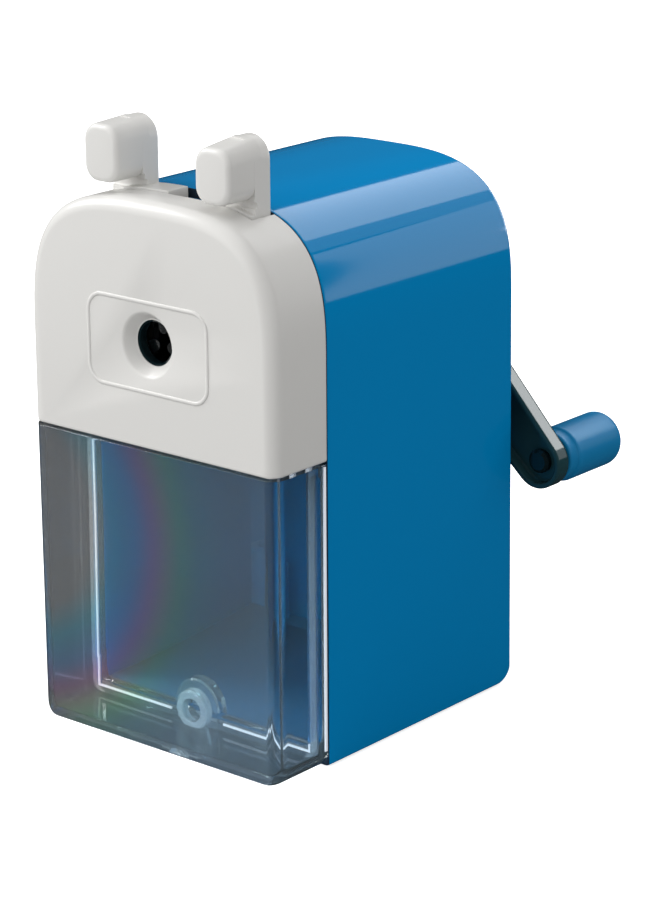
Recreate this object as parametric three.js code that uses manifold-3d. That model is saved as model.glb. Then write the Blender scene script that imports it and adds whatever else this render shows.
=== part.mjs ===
// Crank pencil sharpener: a pull-out face plate with a three-jaw chuck and two levers, a shavings
// drawer, and a milling cutter that the rear crank rolls round a fixed ring gear.
// Millimetres, +Z up, front towards -Y. Origin on the table, under the middle of the body.
import * as THREE from "three";
import { mergeVertices } from "three/addons/utils/BufferGeometryUtils.js";
import Module from "manifold-3d";

const wasm = await Module();
wasm.setup();

// Body
const BODY_WIDTH = 63;
const BODY_DEPTH = 73.2;
const BODY_BOTTOM = 0.5;
const BODY_TOP = 110.5;
const ARCH_SPRING = 81;
const ARCH_POWER = 3.14;
const WALL = 2.2;
const GAP = 0.3;
const SEAM = 15.3;
const FRONT_PIECES_BACK = SEAM - 0.2;
const CASE_FRONT = SEAM + 0.1;
const PLATE_BOTTOM = 62.4;
const REAR_BOTTOM_RADIUS = 4;
const REAR_WALL = 2.5;
const REAR_BOSS_RADIUS = 11;
const REAR_BOSS_END = BODY_DEPTH + 1.2;

// Pencil axis, crank and knob
const AXIS_Z = 83;
const CRANK_RADIUS = 49.8;
const CRANK_REST_ANGLE = THREE.MathUtils.degToRad(44.7);
const ARM_FRONT = BODY_DEPTH + 3.4;
const ARM_THICKNESS = 3.9;
const ARM_BACK = ARM_FRONT + ARM_THICKNESS;
const ARM_HUB_RADIUS = 8;
const ARM_END_RADIUS = 5.6;
const ARM_RECESS = 2;
const ARM_RIM = 1.3;
const RECESS_START = 11.5;
const RECESS_START_RADIUS = 6.2;
const HUB_RADIUS = 7.2;
const HUB_FRONT = REAR_BOSS_END + 0.6;
const KNOB_RADIUS = 5.8;
const KNOB_COLLAR = 0.6;
const KNOB_END = BODY_DEPTH + 26.8;
const KNOB_BORE_END = KNOB_END - 6;
const SHAFT_RADIUS = 3;
const SHAFT_START = 57.8;
const ARM_SCREW_RADIUS = 1.2;

// Face plate, chuck and levers
const HOLE_RADIUS = 4.5;
const FUNNEL_RADIUS = 6.3;
const FUNNEL_DEPTH = 2.2;
const PLATE_INSIDE = WALL + 0.2;
const SOCKET_RADIUS = 3.1;
const SOCKET_END = 8;
const JAW_PIVOT_RADIUS = 8.4;
const JAW_COUNT = 3;
const PIN_RADIUS = 0.8;
const SLOT_FRONT = 8.6;
const SLOT_BOTTOM = 104;
const SLOT_HALF_WIDTH = 19.2;
const LEVER_LEFT_X = -13.7;
const LEVER_RIGHT_X = 14.5;
const LEVER_WIDTH = 8.7;
const HEAD_HEIGHT = 11.2;
const HEAD_FRONT = 2.8;
const HEAD_RADIUS = 3;
const HEAD_ROUND = 0.9;
const HEAD_LEFT_Z = 117.6;
const HEAD_RIGHT_Z = 116.9;
const LEVER_TOP = 123.4;
const UPRIGHT_FRONT = 9;
const UPRIGHT_BACK = 14.6;
const ROD_X = 25;
const ROD_RADIUS = 1.5;
const ROD_START = 3.8;
const ROD_END = 64;
const STOP_FRONT = 61.4;
const BUSH_END = 20.6;

// Drawer
const DRAWER_WALL = 2;
const DRAWER_TOP = 61.9;
const DRAWER_CORNER = 3.8;
const HOOD_BOTTOM = 0.1;
const HOOD_INSIDE_ROUND = 1;
const BOX_HALF_WIDTH = 28;
const BOX_BOTTOM = 3.7;
const BOX_TOP = 59;
const BOX_END = 62;
const BOX_WALL = 1.2;
const PEG_Z = 5.4;
const PEG_RADIUS = 4;
const PEG_FRONT = 11.2;
const PEG_BORE = 2.3;
const PEG_COLLAR_RADIUS = 6;
const PEG_BORE_END = 14.5;
const FRONT_ROUND = 2.8;
const CUT_SPARE = 6;

// Face plate details and chuck depths
const RIDGE_WIDTH = 32;
const RIDGE_HEIGHT = 19.2;
const RIDGE_Z = 85.5;
const RIDGE_PROUD = 0.35;
const RIDGE_RADIUS = 4;
const RIDGE_LINE = 0.7;
const JAW_FRONT = 4.6;
const JAW_BACK = 7;
const JAW_LENGTH = 6;
const JAW_PIVOT_END = 2;
const JAW_TIP_END = 1.1;
const CHUCK_FRONT = 7.3;
const CHUCK_BACK = 8.9;
const CHUCK_RADIUS = 10.8;
const CHUCK_BORE = 5.2;
const LEVER_BOTTOM = 101.5;
const LEVER_PLATE = 2.1;
const LEVER_RING = 14.8;
const LEVER_BORE = 11.4;
const LEVER_ARM_WIDTH = 7;
const LEVER_ARM_INNER = 13;
const LEVER_ARM_OUTER = 24.5;
const LEVER_RING_DEPTHS = { left: 9.3, right: 12.2 };
const STRIP_END = 2;
const STRIP_BOTTOM = 106.5;
const STRIP_RISE = 0.4;

// Base, frame and bushes
const BASE_BOTTOM = 1.4;
const BASE_TOP = 3.4;
const BASE_FRONT = 16.1;
const BASE_BACK = BODY_DEPTH - REAR_WALL - 0.4;
const MAT_WIDTH = 52;
const MAT_DEPTH = 46;
const MAT_THICKNESS = 1;
const MAT_MIDDLE = 40;
const BASE_SCREWS = [-26.4, 26.4];
const SCREW_HEAD_RADIUS = 2.6;
const SCREW_HEAD_THICKNESS = 0.45;
const SCREW_TOP = 9.5;
const SCREW_DEPTH = 65.9;
const SCREW_RADIUS = 1.2;
const POST_RADIUS = 3.2;
const POST_TOP = 16;
const FRAME_FRONT = 15.8;
const FRAME_BACK = 17.9;
const FRAME_OPENING = 9;
const BUSH_OUTER = 3.1;
const BUSH_RADIUS = 5.8;
const BUSH_FLANGE_RADIUS = 8.5;
const BUSH_FLANGE_THICKNESS = 2.4;
const RIVET_RADIUS = 1.6;
const RIVET_HEAD_RADIUS = 2.5;

// Cutter drive: the cutter leans so that its edge lies along the pencil's cone
const LEAN = THREE.MathUtils.degToRad(10.6);
const RING_TEETH = 42;
const PINION_TEETH = 13;
const MODULE = 0.81;
const GEAR_PLANE = 20.8;
const RING_PITCH = (RING_TEETH * MODULE) / 2;
const PINION_PITCH = (PINION_TEETH * MODULE) / 2;
const CUTTER_OFFSET = RING_PITCH - PINION_PITCH;
const CUTTER_RADIUS = 6.6;
const CUTTER_START = 6.7;
const CUTTER_END = 32.3;
const CUTTER_BLADES = 12;
const CUTTER_GROOVE = 0.9;
const CUTTER_TWIST = Math.PI / 90;
const CUTTER_PIN_RADIUS = 1.5;
const CUTTER_PIN_LENGTH = 38.4;
const CUTTER_PIN_MIDDLE = 17.3;
const RING_GEAR_RADIUS = 20.5;
const RING_GEAR_FLAT = 19.5;
const RING_GEAR_FRONT = -2.3;
const RING_GEAR_BACK = 2.1;
const PINION_HALF_WIDTH = 1.2;

// Cutter carrier, in depths behind the front face
const CARRIER_RADIUS = 19.4;
const CARRIER_BORE = 7;
const CARRIER_FRONT = 23.6;
const CARRIER_FRONT_END = 25.6;
const CARRIER_REAR = 54.4;
const CARRIER_REAR_END = 57.2;
const CARRIER_REAR_RADIUS = 10.8;
const CARRIER_HUB_RADIUS = 6.2;
const CARRIER_HUB_END = 61;
const CARRIER_SOCKET = 57.5;
const STRUT_OUTER = 16;
const STRUT_INNER = 13.4;
const STRUT_START = 1.1 * Math.PI;
const STRUT_END = 1.9 * Math.PI;

function plastic(color, roughness, metalness = 0) {
  return new THREE.MeshStandardMaterial({ color, roughness, metalness });
}

const metal = (color, roughness) => plastic(color, roughness, 1);
const blue = plastic(0x05679e, 0.25);
const white = plastic(0xdededb, 0.35);
const black = plastic(0x0c0e10, 0.25);
const grey = plastic(0x6d7074, 0.5);
const rubber = plastic(0x2a2a2a, 0.9);
const steel = metal(0xb4b8bb, 0.3);
const brass = metal(0xb08d4a, 0.35);
const smoke = new THREE.MeshStandardMaterial({
  color: 0x6c7f99, roughness: 0.08, metalness: 0, transparent: true, opacity: 0.35,
});

const sharpener = new THREE.Group();

// The Y position of a plane that lies `depth` behind the front face.
const yAt = (depth) => depth - BODY_DEPTH / 2;

function addPart(name, geometry, material, parent = sharpener) {
  const mesh = new THREE.Mesh(geometry, material);
  mesh.name = name;
  parent.add(mesh);
  return mesh;
}

// Booleans
function toSolid(geometry) {
  const bare = geometry.clone();
  bare.deleteAttribute("normal");
  bare.deleteAttribute("uv");
  const merged = mergeVertices(bare, 1e-4);
  const vertProperties = merged.attributes.position.array;
  const triVerts = new Uint32Array(merged.index.array);
  return new wasm.Manifold(new wasm.Mesh({ numProp: 3, vertProperties, triVerts }));
}

function toGeometry(solid) {
  const mesh = solid.getMesh();
  const geometry = new THREE.BufferGeometry();
  geometry.setAttribute("position", new THREE.BufferAttribute(mesh.vertProperties, 3));
  geometry.setIndex(new THREE.BufferAttribute(mesh.triVerts, 1));
  geometry.computeVertexNormals();
  return geometry;
}

const cut = (body, ...tools) =>
  toGeometry(tools.reduce((solid, tool) => solid.subtract(toSolid(tool)), toSolid(body)));
const join = (body, ...others) =>
  toGeometry(others.reduce((solid, other) => solid.add(toSolid(other)), toSolid(body)));
const common = (body, other) => toGeometry(toSolid(body).intersect(toSolid(other)));

// Outlines in the XZ plane
function circle(radius, x = 0, z = 0) {
  return new THREE.Shape().absarc(x, z, radius, 0, 2 * Math.PI, false);
}

function ring(outer, inner, x = 0, z = 0) {
  const shape = circle(outer, x, z);
  shape.holes.push(new THREE.Path().absarc(x, z, inner, 0, 2 * Math.PI, true));
  return shape;
}

function roundedBox(width, height, radius, x = 0, z = 0) {
  const right = x + width / 2 - radius;
  const left = x - width / 2 + radius;
  const top = z + height / 2 - radius;
  const bottom = z - height / 2 + radius;
  const shape = new THREE.Shape();
  shape.absarc(right, bottom, radius, -Math.PI / 2, 0, false);
  shape.absarc(right, top, radius, 0, Math.PI / 2, false);
  shape.absarc(left, top, radius, Math.PI / 2, Math.PI, false);
  shape.absarc(left, bottom, radius, Math.PI, 1.5 * Math.PI, false);
  return shape;
}

// Round ends of radius r0 at the origin and r1 at (length, 0).
function taperedLink(length, r0, r1) {
  const lean = Math.asin((r0 - r1) / length);
  const shape = new THREE.Shape();
  shape.absarc(length, 0, r1, lean - Math.PI / 2, Math.PI / 2 - lean, false);
  shape.absarc(0, 0, r0, Math.PI / 2 - lean, 1.5 * Math.PI + lean, false);
  return shape;
}

function radialBar(angle, inner, outer, width) {
  const along = new THREE.Vector2(Math.sin(angle), Math.cos(angle));
  const across = new THREE.Vector2(Math.cos(angle), -Math.sin(angle)).multiplyScalar(width / 2);
  const corner = (radius, side) =>
    new THREE.Vector2(0, AXIS_Z).addScaledVector(along, radius).addScaledVector(across, side);
  return new THREE.Shape([corner(inner, 1), corner(outer, 1), corner(outer, -1), corner(inner, -1)]);
}

function archHeight(x) {
  const share = Math.abs(x) / (BODY_WIDTH / 2);
  return ARCH_SPRING + (BODY_TOP - ARCH_SPRING) * (1 - share ** ARCH_POWER) ** (1 / ARCH_POWER);
}

function arch(inset, bottom) {
  const half = BODY_WIDTH / 2 - inset;
  const rise = BODY_TOP - inset - ARCH_SPRING;
  const steps = 28;
  const shape = new THREE.Shape();
  shape.moveTo(-half, bottom);
  shape.lineTo(half, bottom);
  for (let i = 0; i <= steps; i += 1) {
    const turn = (Math.PI * i) / steps;
    const x = Math.sign(Math.cos(turn)) * half * Math.abs(Math.cos(turn)) ** (2 / ARCH_POWER);
    shape.lineTo(x, ARCH_SPRING + rise * Math.sin(turn) ** (2 / ARCH_POWER));
  }
  return shape;
}

// A toothed outline: `tip` and `root` radii, with the teeth's share of the pitch at each.
function toothed(count, tip, root, tipShare, rootShare) {
  const pitch = (2 * Math.PI) / count;
  const points = [];
  for (let i = 0; i < count; i += 1) {
    const middle = Math.PI / 2 + i * pitch;
    const corners = [[root, -rootShare], [tip, -tipShare], [tip, tipShare], [root, rootShare]];
    for (const [radius, share] of corners) {
      const angle = middle + (share * pitch) / 2;
      points.push(new THREE.Vector2(radius * Math.cos(angle), radius * Math.sin(angle)));
    }
  }
  return points;
}

// Solids along Y
function prism(shape, yFront, yBack, curveSegments = 10) {
  const options = { depth: yBack - yFront, bevelEnabled: false, curveSegments };
  const geometry = new THREE.ExtrudeGeometry(shape, options);
  geometry.rotateX(Math.PI / 2);
  geometry.translate(0, yBack, 0);
  return geometry;
}

const slab = (shape, from, to, curveSegments) => prism(shape, yAt(from), yAt(to), curveSegments);

// A slab whose front edges are rounded by `radius`.
function roundedSlab(shape, from, to, radius, steps = 3) {
  const spare = radius + 2;
  const depth = to - from - radius + spare;
  const options = {
    depth, bevelThickness: radius, bevelSize: radius, bevelOffset: -radius,
    bevelSegments: steps, curveSegments: 8,
  };
  const geometry = new THREE.ExtrudeGeometry(shape, options);
  geometry.rotateX(Math.PI / 2);
  geometry.translate(0, yAt(from) + depth + radius, 0);
  return common(geometry, block(200, to - from, 300, 0, (from + to) / 2, 100));
}

function block(width, depth, height, x, atDepth, z) {
  const geometry = new THREE.BoxGeometry(width, depth, height);
  geometry.translate(x, yAt(atDepth), z);
  return geometry;
}

// The part of a solid above or below a level, so that its cut edge stays sharp
const above = (z, geometry) => common(geometry, block(200, 200, 200, 0, 0, z + 100));
const below = (z, geometry) => common(geometry, block(200, 200, 200, 0, 0, z - 100));

function cylinder(radius, from, to, x = 0, z = AXIS_Z, segments = 24) {
  const geometry = new THREE.CylinderGeometry(radius, radius, to - from, segments);
  geometry.translate(x, yAt((from + to) / 2), z);
  return geometry;
}

function upright(radius, x, bottom, top, segments = 16) {
  const geometry = new THREE.CylinderGeometry(radius, radius, top - bottom, segments);
  geometry.rotateX(Math.PI / 2);
  return geometry.translate(x, yAt(SCREW_DEPTH), (top + bottom) / 2);
}

const jawAngles = Array.from({ length: JAW_COUNT }, (_, i) => Math.PI / 2 + (2 * Math.PI * i) / JAW_COUNT);
const pivotX = (angle) => JAW_PIVOT_RADIUS * Math.cos(angle);
const pivotZ = (angle) => AXIS_Z + JAW_PIVOT_RADIUS * Math.sin(angle);
const pivotCylinder = (radius, from, to, angle) =>
  cylinder(radius, from, to, pivotX(angle), pivotZ(angle), 12);

// A body turned about Y from [radius, depth] pairs.
function turned(profile, x = 0, z = AXIS_Z, segments = 24) {
  const points = profile.map(([radius, depth]) => new THREE.Vector2(radius, yAt(depth)));
  const geometry = new THREE.LatheGeometry(points, segments);
  geometry.translate(x, 0, z);
  return geometry;
}

const tube = (outer, inner, from, to, x, z, segments) =>
  turned([[inner, from], [outer, from], [outer, to], [inner, to], [inner, from]], x, z, segments);

// Case: an arched shell, open in front and below, with screw posts in its rear corners
function caseShell() {
  const corner = BODY_DEPTH - REAR_BOTTOM_RADIUS;
  const cornerZ = BODY_BOTTOM + REAR_BOTTOM_RADIUS;
  const edge = block(80, 12, 12, 0, corner + 6, cornerZ - 6);
  const round = new THREE.CylinderGeometry(REAR_BOTTOM_RADIUS, REAR_BOTTOM_RADIUS, 90, 48);
  round.rotateZ(Math.PI / 2);
  round.translate(0, yAt(corner), cornerZ);
  const outer = cut(slab(arch(0, BODY_BOTTOM), CASE_FRONT, BODY_DEPTH), cut(edge, round));
  const cavity = slab(arch(WALL, -1), SEAM - 1, BODY_DEPTH - REAR_WALL);
  const boss = cylinder(REAR_BOSS_RADIUS, BODY_DEPTH - 1, REAR_BOSS_END);
  const posts = BASE_SCREWS.map((x) => upright(POST_RADIUS, x, BASE_TOP + GAP, POST_TOP));
  const bores = BASE_SCREWS.map((x) => upright(SCREW_RADIUS + GAP, x, 0, SCREW_TOP + 0.5));
  const shaftHole = cylinder(BUSH_RADIUS + GAP, BODY_DEPTH - 10, BODY_DEPTH + 10);
  return cut(join(cut(outer, cavity), boss, ...posts), shaftHole, ...bores);
}

function basePlate() {
  const width = BODY_WIDTH - 2 * WALL - 0.8;
  const size = [width, BASE_BACK - BASE_FRONT, BASE_TOP - BASE_BOTTOM];
  const plate = block(...size, 0, (BASE_FRONT + BASE_BACK) / 2, (BASE_TOP + BASE_BOTTOM) / 2);
  return cut(plate, ...BASE_SCREWS.map((x) => upright(SCREW_RADIUS + GAP, x, 0, BASE_TOP + 1)));
}

function baseScrew(x) {
  const headTop = BASE_BOTTOM - GAP;
  const head = upright(SCREW_HEAD_RADIUS, x, headTop - SCREW_HEAD_THICKNESS, headTop);
  return join(head, upright(SCREW_RADIUS, x, headTop - SCREW_HEAD_THICKNESS / 2, SCREW_TOP));
}

// Bulkhead behind the face plate, with the pencil opening and the two bush holes
function frontFrame() {
  const plate = slab(arch(WALL + GAP, PLATE_BOTTOM + 0.5), FRAME_FRONT, FRAME_BACK);
  const bushHoles = [-ROD_X, ROD_X].map((x) => cylinder(BUSH_OUTER + GAP, 10, 20, x));
  return cut(plate, cylinder(FRAME_OPENING, 10, 20), ...bushHoles);
}

// Fixed internal gear, coned to suit the leaning pinion
function ringGear() {
  const shape = circle(RING_GEAR_RADIUS);
  const gaps = toothed(RING_TEETH, RING_PITCH + 0.9, RING_PITCH - 0.45, 0.5, 0.72);
  shape.holes.push(new THREE.Path(gaps.reverse()));
  const geometry = prism(shape, RING_GEAR_FRONT, RING_GEAR_BACK, 40);
  const position = geometry.getAttribute("position");
  for (let i = 0; i < position.count; i += 1) {
    const radius = Math.hypot(position.getX(i), position.getZ(i));
    if (radius < RING_GEAR_FLAT) {
      const scale = 1 - (position.getY(i) * Math.tan(LEAN)) / RING_PITCH;
      position.setX(i, position.getX(i) * scale);
      position.setZ(i, position.getZ(i) * scale);
    }
  }
  return geometry.translate(0, yAt(GEAR_PLANE), AXIS_Z);
}

function rearBush() {
  const bore = SHAFT_RADIUS + GAP;
  const inside = BODY_DEPTH - REAR_WALL - GAP;
  const flange = inside - BUSH_FLANGE_THICKNESS;
  const profile = [
    [bore, flange], [BUSH_FLANGE_RADIUS, flange], [BUSH_FLANGE_RADIUS, inside], [BUSH_RADIUS, inside],
    [BUSH_RADIUS, REAR_BOSS_END], [bore, REAR_BOSS_END], [bore, flange],
  ];
  return turned(profile);
}

// Face plate: a shell with a rounded front, the pencil funnel, rod sockets and the lever slot
function facePlate() {
  const outline = arch(0, PLATE_BOTTOM - CUT_SPARE);
  const shell = above(PLATE_BOTTOM, roundedSlab(outline, 0, FRONT_PIECES_BACK, FRONT_ROUND, 4));
  const cavity = slab(arch(WALL, PLATE_BOTTOM + 2), PLATE_INSIDE, SEAM + 1);
  const frameOutline = roundedBox(RIDGE_WIDTH, RIDGE_HEIGHT, RIDGE_RADIUS, 0, RIDGE_Z);
  const frameInner = roundedBox(
    RIDGE_WIDTH - 2 * RIDGE_LINE, RIDGE_HEIGHT - 2 * RIDGE_LINE, RIDGE_RADIUS - RIDGE_LINE, 0, RIDGE_Z,
  );
  const ridge = cut(slab(frameOutline, -RIDGE_PROUD, 0.5), slab(frameInner, -1, 1));
  const jawBoss = slab(circle(CHUCK_RADIUS, 0, AXIS_Z), WALL - 0.2, JAW_FRONT - GAP, 20);
  const sockets = [-ROD_X, ROD_X].map((x) => cylinder(SOCKET_RADIUS, WALL - 0.2, SOCKET_END, x));
  const funnel = turned([
    [0, -1], [FUNNEL_RADIUS + 0.3, -1], [FUNNEL_RADIUS, 0],
    [HOLE_RADIUS, FUNNEL_DEPTH], [HOLE_RADIUS, 12], [0, 12],
  ]);
  const slot = block(2 * SLOT_HALF_WIDTH, 10, 10, 0, SLOT_FRONT + 5, SLOT_BOTTOM + 5);
  const rodBores = [-ROD_X, ROD_X].map((x) => cylinder(ROD_RADIUS + GAP, ROD_START - GAP, 12, x));
  const pinBores = jawAngles.map((angle) => pivotCylinder(PIN_RADIUS + GAP, 2.8, 12, angle));
  return cut(join(cut(shell, cavity), ridge, jawBoss, ...sockets), funnel, slot, ...rodBores, ...pinBores);
}

function chuckPlate() {
  const plate = tube(CHUCK_RADIUS, CHUCK_BORE, CHUCK_FRONT, CHUCK_BACK, 0, AXIS_Z, 32);
  return cut(plate, ...jawAngles.map((angle) => pivotCylinder(PIN_RADIUS + GAP, 0, 14, angle)));
}

// A jaw lies along its own -X from the pivot to the gripping tip
function jaw() {
  const link = taperedLink(JAW_LENGTH, JAW_PIVOT_END, JAW_TIP_END);
  link.holes.push(new THREE.Path().absarc(0, 0, PIN_RADIUS + GAP, 0, 2 * Math.PI, true));
  const geometry = slab(link, JAW_FRONT, JAW_BACK, 8);
  return geometry.rotateY(Math.PI);
}

// One lever: thumb head, upright, radial arm and the ring that turns round the chuck
function lever(x, headZ, ringFront) {
  const headOutline = roundedBox(LEVER_WIDTH, HEAD_HEIGHT, HEAD_RADIUS, x, headZ);
  const head = roundedSlab(headOutline, HEAD_FRONT, UPRIGHT_FRONT + 1, HEAD_ROUND, 2);
  const half = LEVER_WIDTH / 2;
  const outline = new THREE.Shape();
  outline.moveTo(x - half, LEVER_BOTTOM);
  outline.lineTo(x + half, LEVER_BOTTOM);
  outline.absarc(x, LEVER_TOP - half, half, 0, Math.PI, false);
  const body = slab(outline, UPRIGHT_FRONT, UPRIGHT_BACK);
  const armAngle = Math.atan2(x, 20);
  const armOutline = radialBar(armAngle, LEVER_ARM_INNER, LEVER_ARM_OUTER, LEVER_ARM_WIDTH);
  const arm = slab(armOutline, ringFront, ringFront + LEVER_PLATE);
  const collar = slab(ring(LEVER_RING, LEVER_BORE, 0, AXIS_Z), ringFront, ringFront + LEVER_PLATE, 20);
  return join(collar, arm, body, head);
}

// The strip beside the left lever that closes the slot at rest, a little proud of the arch
function slotStrip() {
  const shape = new THREE.Shape();
  const [left, right] = [LEVER_LEFT_X, -STRIP_END];
  shape.moveTo(left, STRIP_BOTTOM);
  shape.lineTo(right, STRIP_BOTTOM);
  for (let i = 0; i <= 5; i += 1) {
    const x = right + ((left - right) * i) / 5;
    shape.lineTo(x, archHeight(x) + STRIP_RISE);
  }
  return slab(shape, UPRIGHT_FRONT, UPRIGHT_BACK);
}

// Drawer: a full-width hood in front and a narrower box that runs back over the base plate
function drawerBody() {
  const flangeFront = SEAM - 2.2;
  const hood = below(DRAWER_TOP, drawerHood(0, 0, FRONT_PIECES_BACK, FRONT_ROUND));
  const hoodInside = drawerHood(DRAWER_WALL, DRAWER_WALL, flangeFront, HOOD_INSIDE_ROUND);
  const boxSize = [2 * BOX_HALF_WIDTH, BOX_END - flangeFront, BOX_TOP - BOX_BOTTOM];
  const box = block(...boxSize, 0, (BOX_END + flangeFront) / 2, (BOX_TOP + BOX_BOTTOM) / 2);
  const [insideFront, insideEnd] = [flangeFront - BOX_WALL, BOX_END - BOX_WALL];
  const insideSize = [2 * (BOX_HALF_WIDTH - BOX_WALL), insideEnd - insideFront, BOX_TOP];
  const inside = block(...insideSize, 0, (insideFront + insideEnd) / 2, BOX_BOTTOM + BOX_WALL + BOX_TOP / 2);
  const peg = cylinder(PEG_RADIUS, PEG_FRONT, FRONT_PIECES_BACK, 0, PEG_Z, 20);
  const collar = cylinder(PEG_COLLAR_RADIUS, flangeFront, FRONT_PIECES_BACK, 0, PEG_Z, 24);
  const under = block(20, 40, 6, 0, SEAM + 18, BOX_BOTTOM - 3);
  const underHood = block(20, 10, 6, 0, SEAM, HOOD_BOTTOM - 3);
  const pegBore = cylinder(PEG_BORE, PEG_FRONT - 2, PEG_BORE_END, 0, PEG_Z, 16);
  const joined = join(cut(hood, hoodInside), box);
  return cut(join(cut(joined, inside), collar, peg), pegBore, under, underHood);
}

function drawerHood(inset, from, to, round) {
  const half = BODY_WIDTH / 2 - inset;
  const bottom = HOOD_BOTTOM + inset;
  const top = DRAWER_TOP + CUT_SPARE;
  const radius = DRAWER_CORNER - inset;
  const shape = new THREE.Shape();
  shape.moveTo(half, top);
  shape.lineTo(-half, top);
  shape.absarc(-half + radius, bottom + radius, radius, Math.PI, 1.5 * Math.PI, false);
  shape.absarc(half - radius, bottom + radius, radius, 1.5 * Math.PI, 2 * Math.PI, false);
  return roundedSlab(shape, from, to, round, 3);
}

// Crank side
function cutterCarrier() {
  const front = tube(CARRIER_RADIUS, CARRIER_BORE, CARRIER_FRONT, CARRIER_FRONT_END, 0, AXIS_Z, 40);
  const rear = cylinder(CARRIER_REAR_RADIUS, CARRIER_REAR, CARRIER_REAR_END, 0, AXIS_Z, 32);
  const hub = cylinder(CARRIER_HUB_RADIUS, CARRIER_REAR_END - 1, CARRIER_HUB_END);
  const strutShape = new THREE.Shape();
  strutShape.absarc(0, AXIS_Z, STRUT_OUTER, STRUT_START, STRUT_END, false);
  strutShape.absarc(0, AXIS_Z, STRUT_INNER, STRUT_END, STRUT_START, true);
  const strut = slab(strutShape, CARRIER_FRONT_END - 0.5, CARRIER_REAR + 0.5, 20);
  const sector = new THREE.Shape();
  sector.absarc(0, AXIS_Z, STRUT_OUTER, STRUT_START, STRUT_END, false);
  sector.lineTo(0, AXIS_Z);
  const rearPlate = slab(sector, CARRIER_REAR, CARRIER_REAR_END, 20);
  const pinHole = onCutterAxis(alongCutter(CUTTER_PIN_RADIUS + GAP, 90));
  const shaftSocket = cylinder(SHAFT_RADIUS + GAP, CARRIER_SOCKET, CARRIER_HUB_END + 9);
  return cut(join(front, strut, rearPlate, rear, hub), pinHole, shaftSocket);
}

const alongCutter = (radius, length) => new THREE.CylinderGeometry(radius, radius, length, 16);

const onCutterAxis = (geometry) =>
  geometry.rotateX(-LEAN).translate(0, yAt(GEAR_PLANE), AXIS_Z + CUTTER_OFFSET);

// Milling cutter with helical blades, built along +Y from the pinion's middle
function cutter() {
  const root = CUTTER_RADIUS - CUTTER_GROOVE;
  const shape = new THREE.Shape(toothed(CUTTER_BLADES, CUTTER_RADIUS, root, 0.15, 0.8));
  shape.holes.push(new THREE.Path().absarc(0, 0, CUTTER_PIN_RADIUS + GAP, 0, 2 * Math.PI, true));
  const options = { depth: CUTTER_END - CUTTER_START, steps: 8, bevelEnabled: false, curveSegments: 6 };
  const geometry = new THREE.ExtrudeGeometry(shape, options);
  geometry.rotateX(Math.PI / 2).translate(0, CUTTER_END, 0);
  const position = geometry.getAttribute("position");
  const point = new THREE.Vector3();
  const axis = new THREE.Vector3(0, 1, 0);
  for (let i = 0; i < position.count; i += 1) {
    point.fromBufferAttribute(position, i);
    point.applyAxisAngle(axis, point.y * CUTTER_TWIST);
    position.setXYZ(i, point.x, point.y, point.z);
  }
  return geometry;
}

function pinion() {
  const shape = new THREE.Shape(toothed(PINION_TEETH, PINION_PITCH + 0.5, PINION_PITCH - 0.75, 0.24, 0.6));
  shape.holes.push(new THREE.Path().absarc(0, 0, CUTTER_PIN_RADIUS + GAP, 0, 2 * Math.PI, true));
  return prism(shape, -PINION_HALF_WIDTH, PINION_HALF_WIDTH, 6);
}

function crankArm() {
  const outline = taperedLink(CRANK_RADIUS, ARM_HUB_RADIUS, ARM_END_RADIUS);
  const recess = taperedLink(CRANK_RADIUS - RECESS_START, RECESS_START_RADIUS, ARM_END_RADIUS - ARM_RIM);
  const arm = slab(outline, ARM_FRONT, ARM_BACK, 16);
  const channel = slab(recess, ARM_FRONT - 1, ARM_FRONT + ARM_RECESS, 16).translate(RECESS_START, 0, 0);
  const hub = cylinder(HUB_RADIUS, HUB_FRONT, ARM_FRONT + 0.5, 0, 0, 28);
  const bores = [
    cylinder(SHAFT_RADIUS + GAP, 60, 90, 0, 0),
    cylinder(RIVET_RADIUS + GAP, 60, 90, CRANK_RADIUS, 0, 16),
  ];
  return cut(join(cut(arm, channel), hub), ...bores);
}

function armScrew() {
  const seat = ARM_BACK + GAP;
  const profile = [
    [0, seat - 6], [ARM_SCREW_RADIUS, seat - 6], [ARM_SCREW_RADIUS, seat],
    [4.4, seat], [4.4, seat + 1], [3.2, seat + 2], [0, seat + 2],
  ];
  const slotCut = new THREE.BoxGeometry(9, 2, 1).translate(0, yAt(seat + 2), 0);
  return cut(turned(profile, 0, 0), slotCut);
}

function crankShaft() {
  const shaft = cylinder(SHAFT_RADIUS, SHAFT_START, ARM_BACK);
  return cut(shaft, cylinder(ARM_SCREW_RADIUS + GAP, ARM_FRONT - 4, ARM_FRONT + 10, 0, AXIS_Z, 16));
}

function knobRivet() {
  const floor = ARM_FRONT + ARM_RECESS - GAP;
  const profile = [
    [0, floor - 1.2], [1.8, floor - 1.2], [RIVET_HEAD_RADIUS, floor - 0.7], [RIVET_HEAD_RADIUS, floor],
    [RIVET_RADIUS, floor], [RIVET_RADIUS, KNOB_BORE_END - 1], [0, KNOB_BORE_END - 1],
  ];
  return turned(profile, CRANK_RADIUS, 0, 20);
}

function knob() {
  const start = ARM_BACK + 1;
  const bore = RIVET_RADIUS + GAP;
  const collar = KNOB_RADIUS - KNOB_COLLAR;
  const profile = [
    [0, KNOB_BORE_END], [bore, KNOB_BORE_END], [bore, start], [collar, start],
    [collar, start + 2.4], [KNOB_RADIUS, start + 3], [KNOB_RADIUS, KNOB_END - 2.4],
    [KNOB_RADIUS - 0.7, KNOB_END - 0.8], [KNOB_RADIUS - 2.2, KNOB_END], [0, KNOB_END],
  ];
  return turned(profile, CRANK_RADIUS, 0, 28);
}

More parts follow.
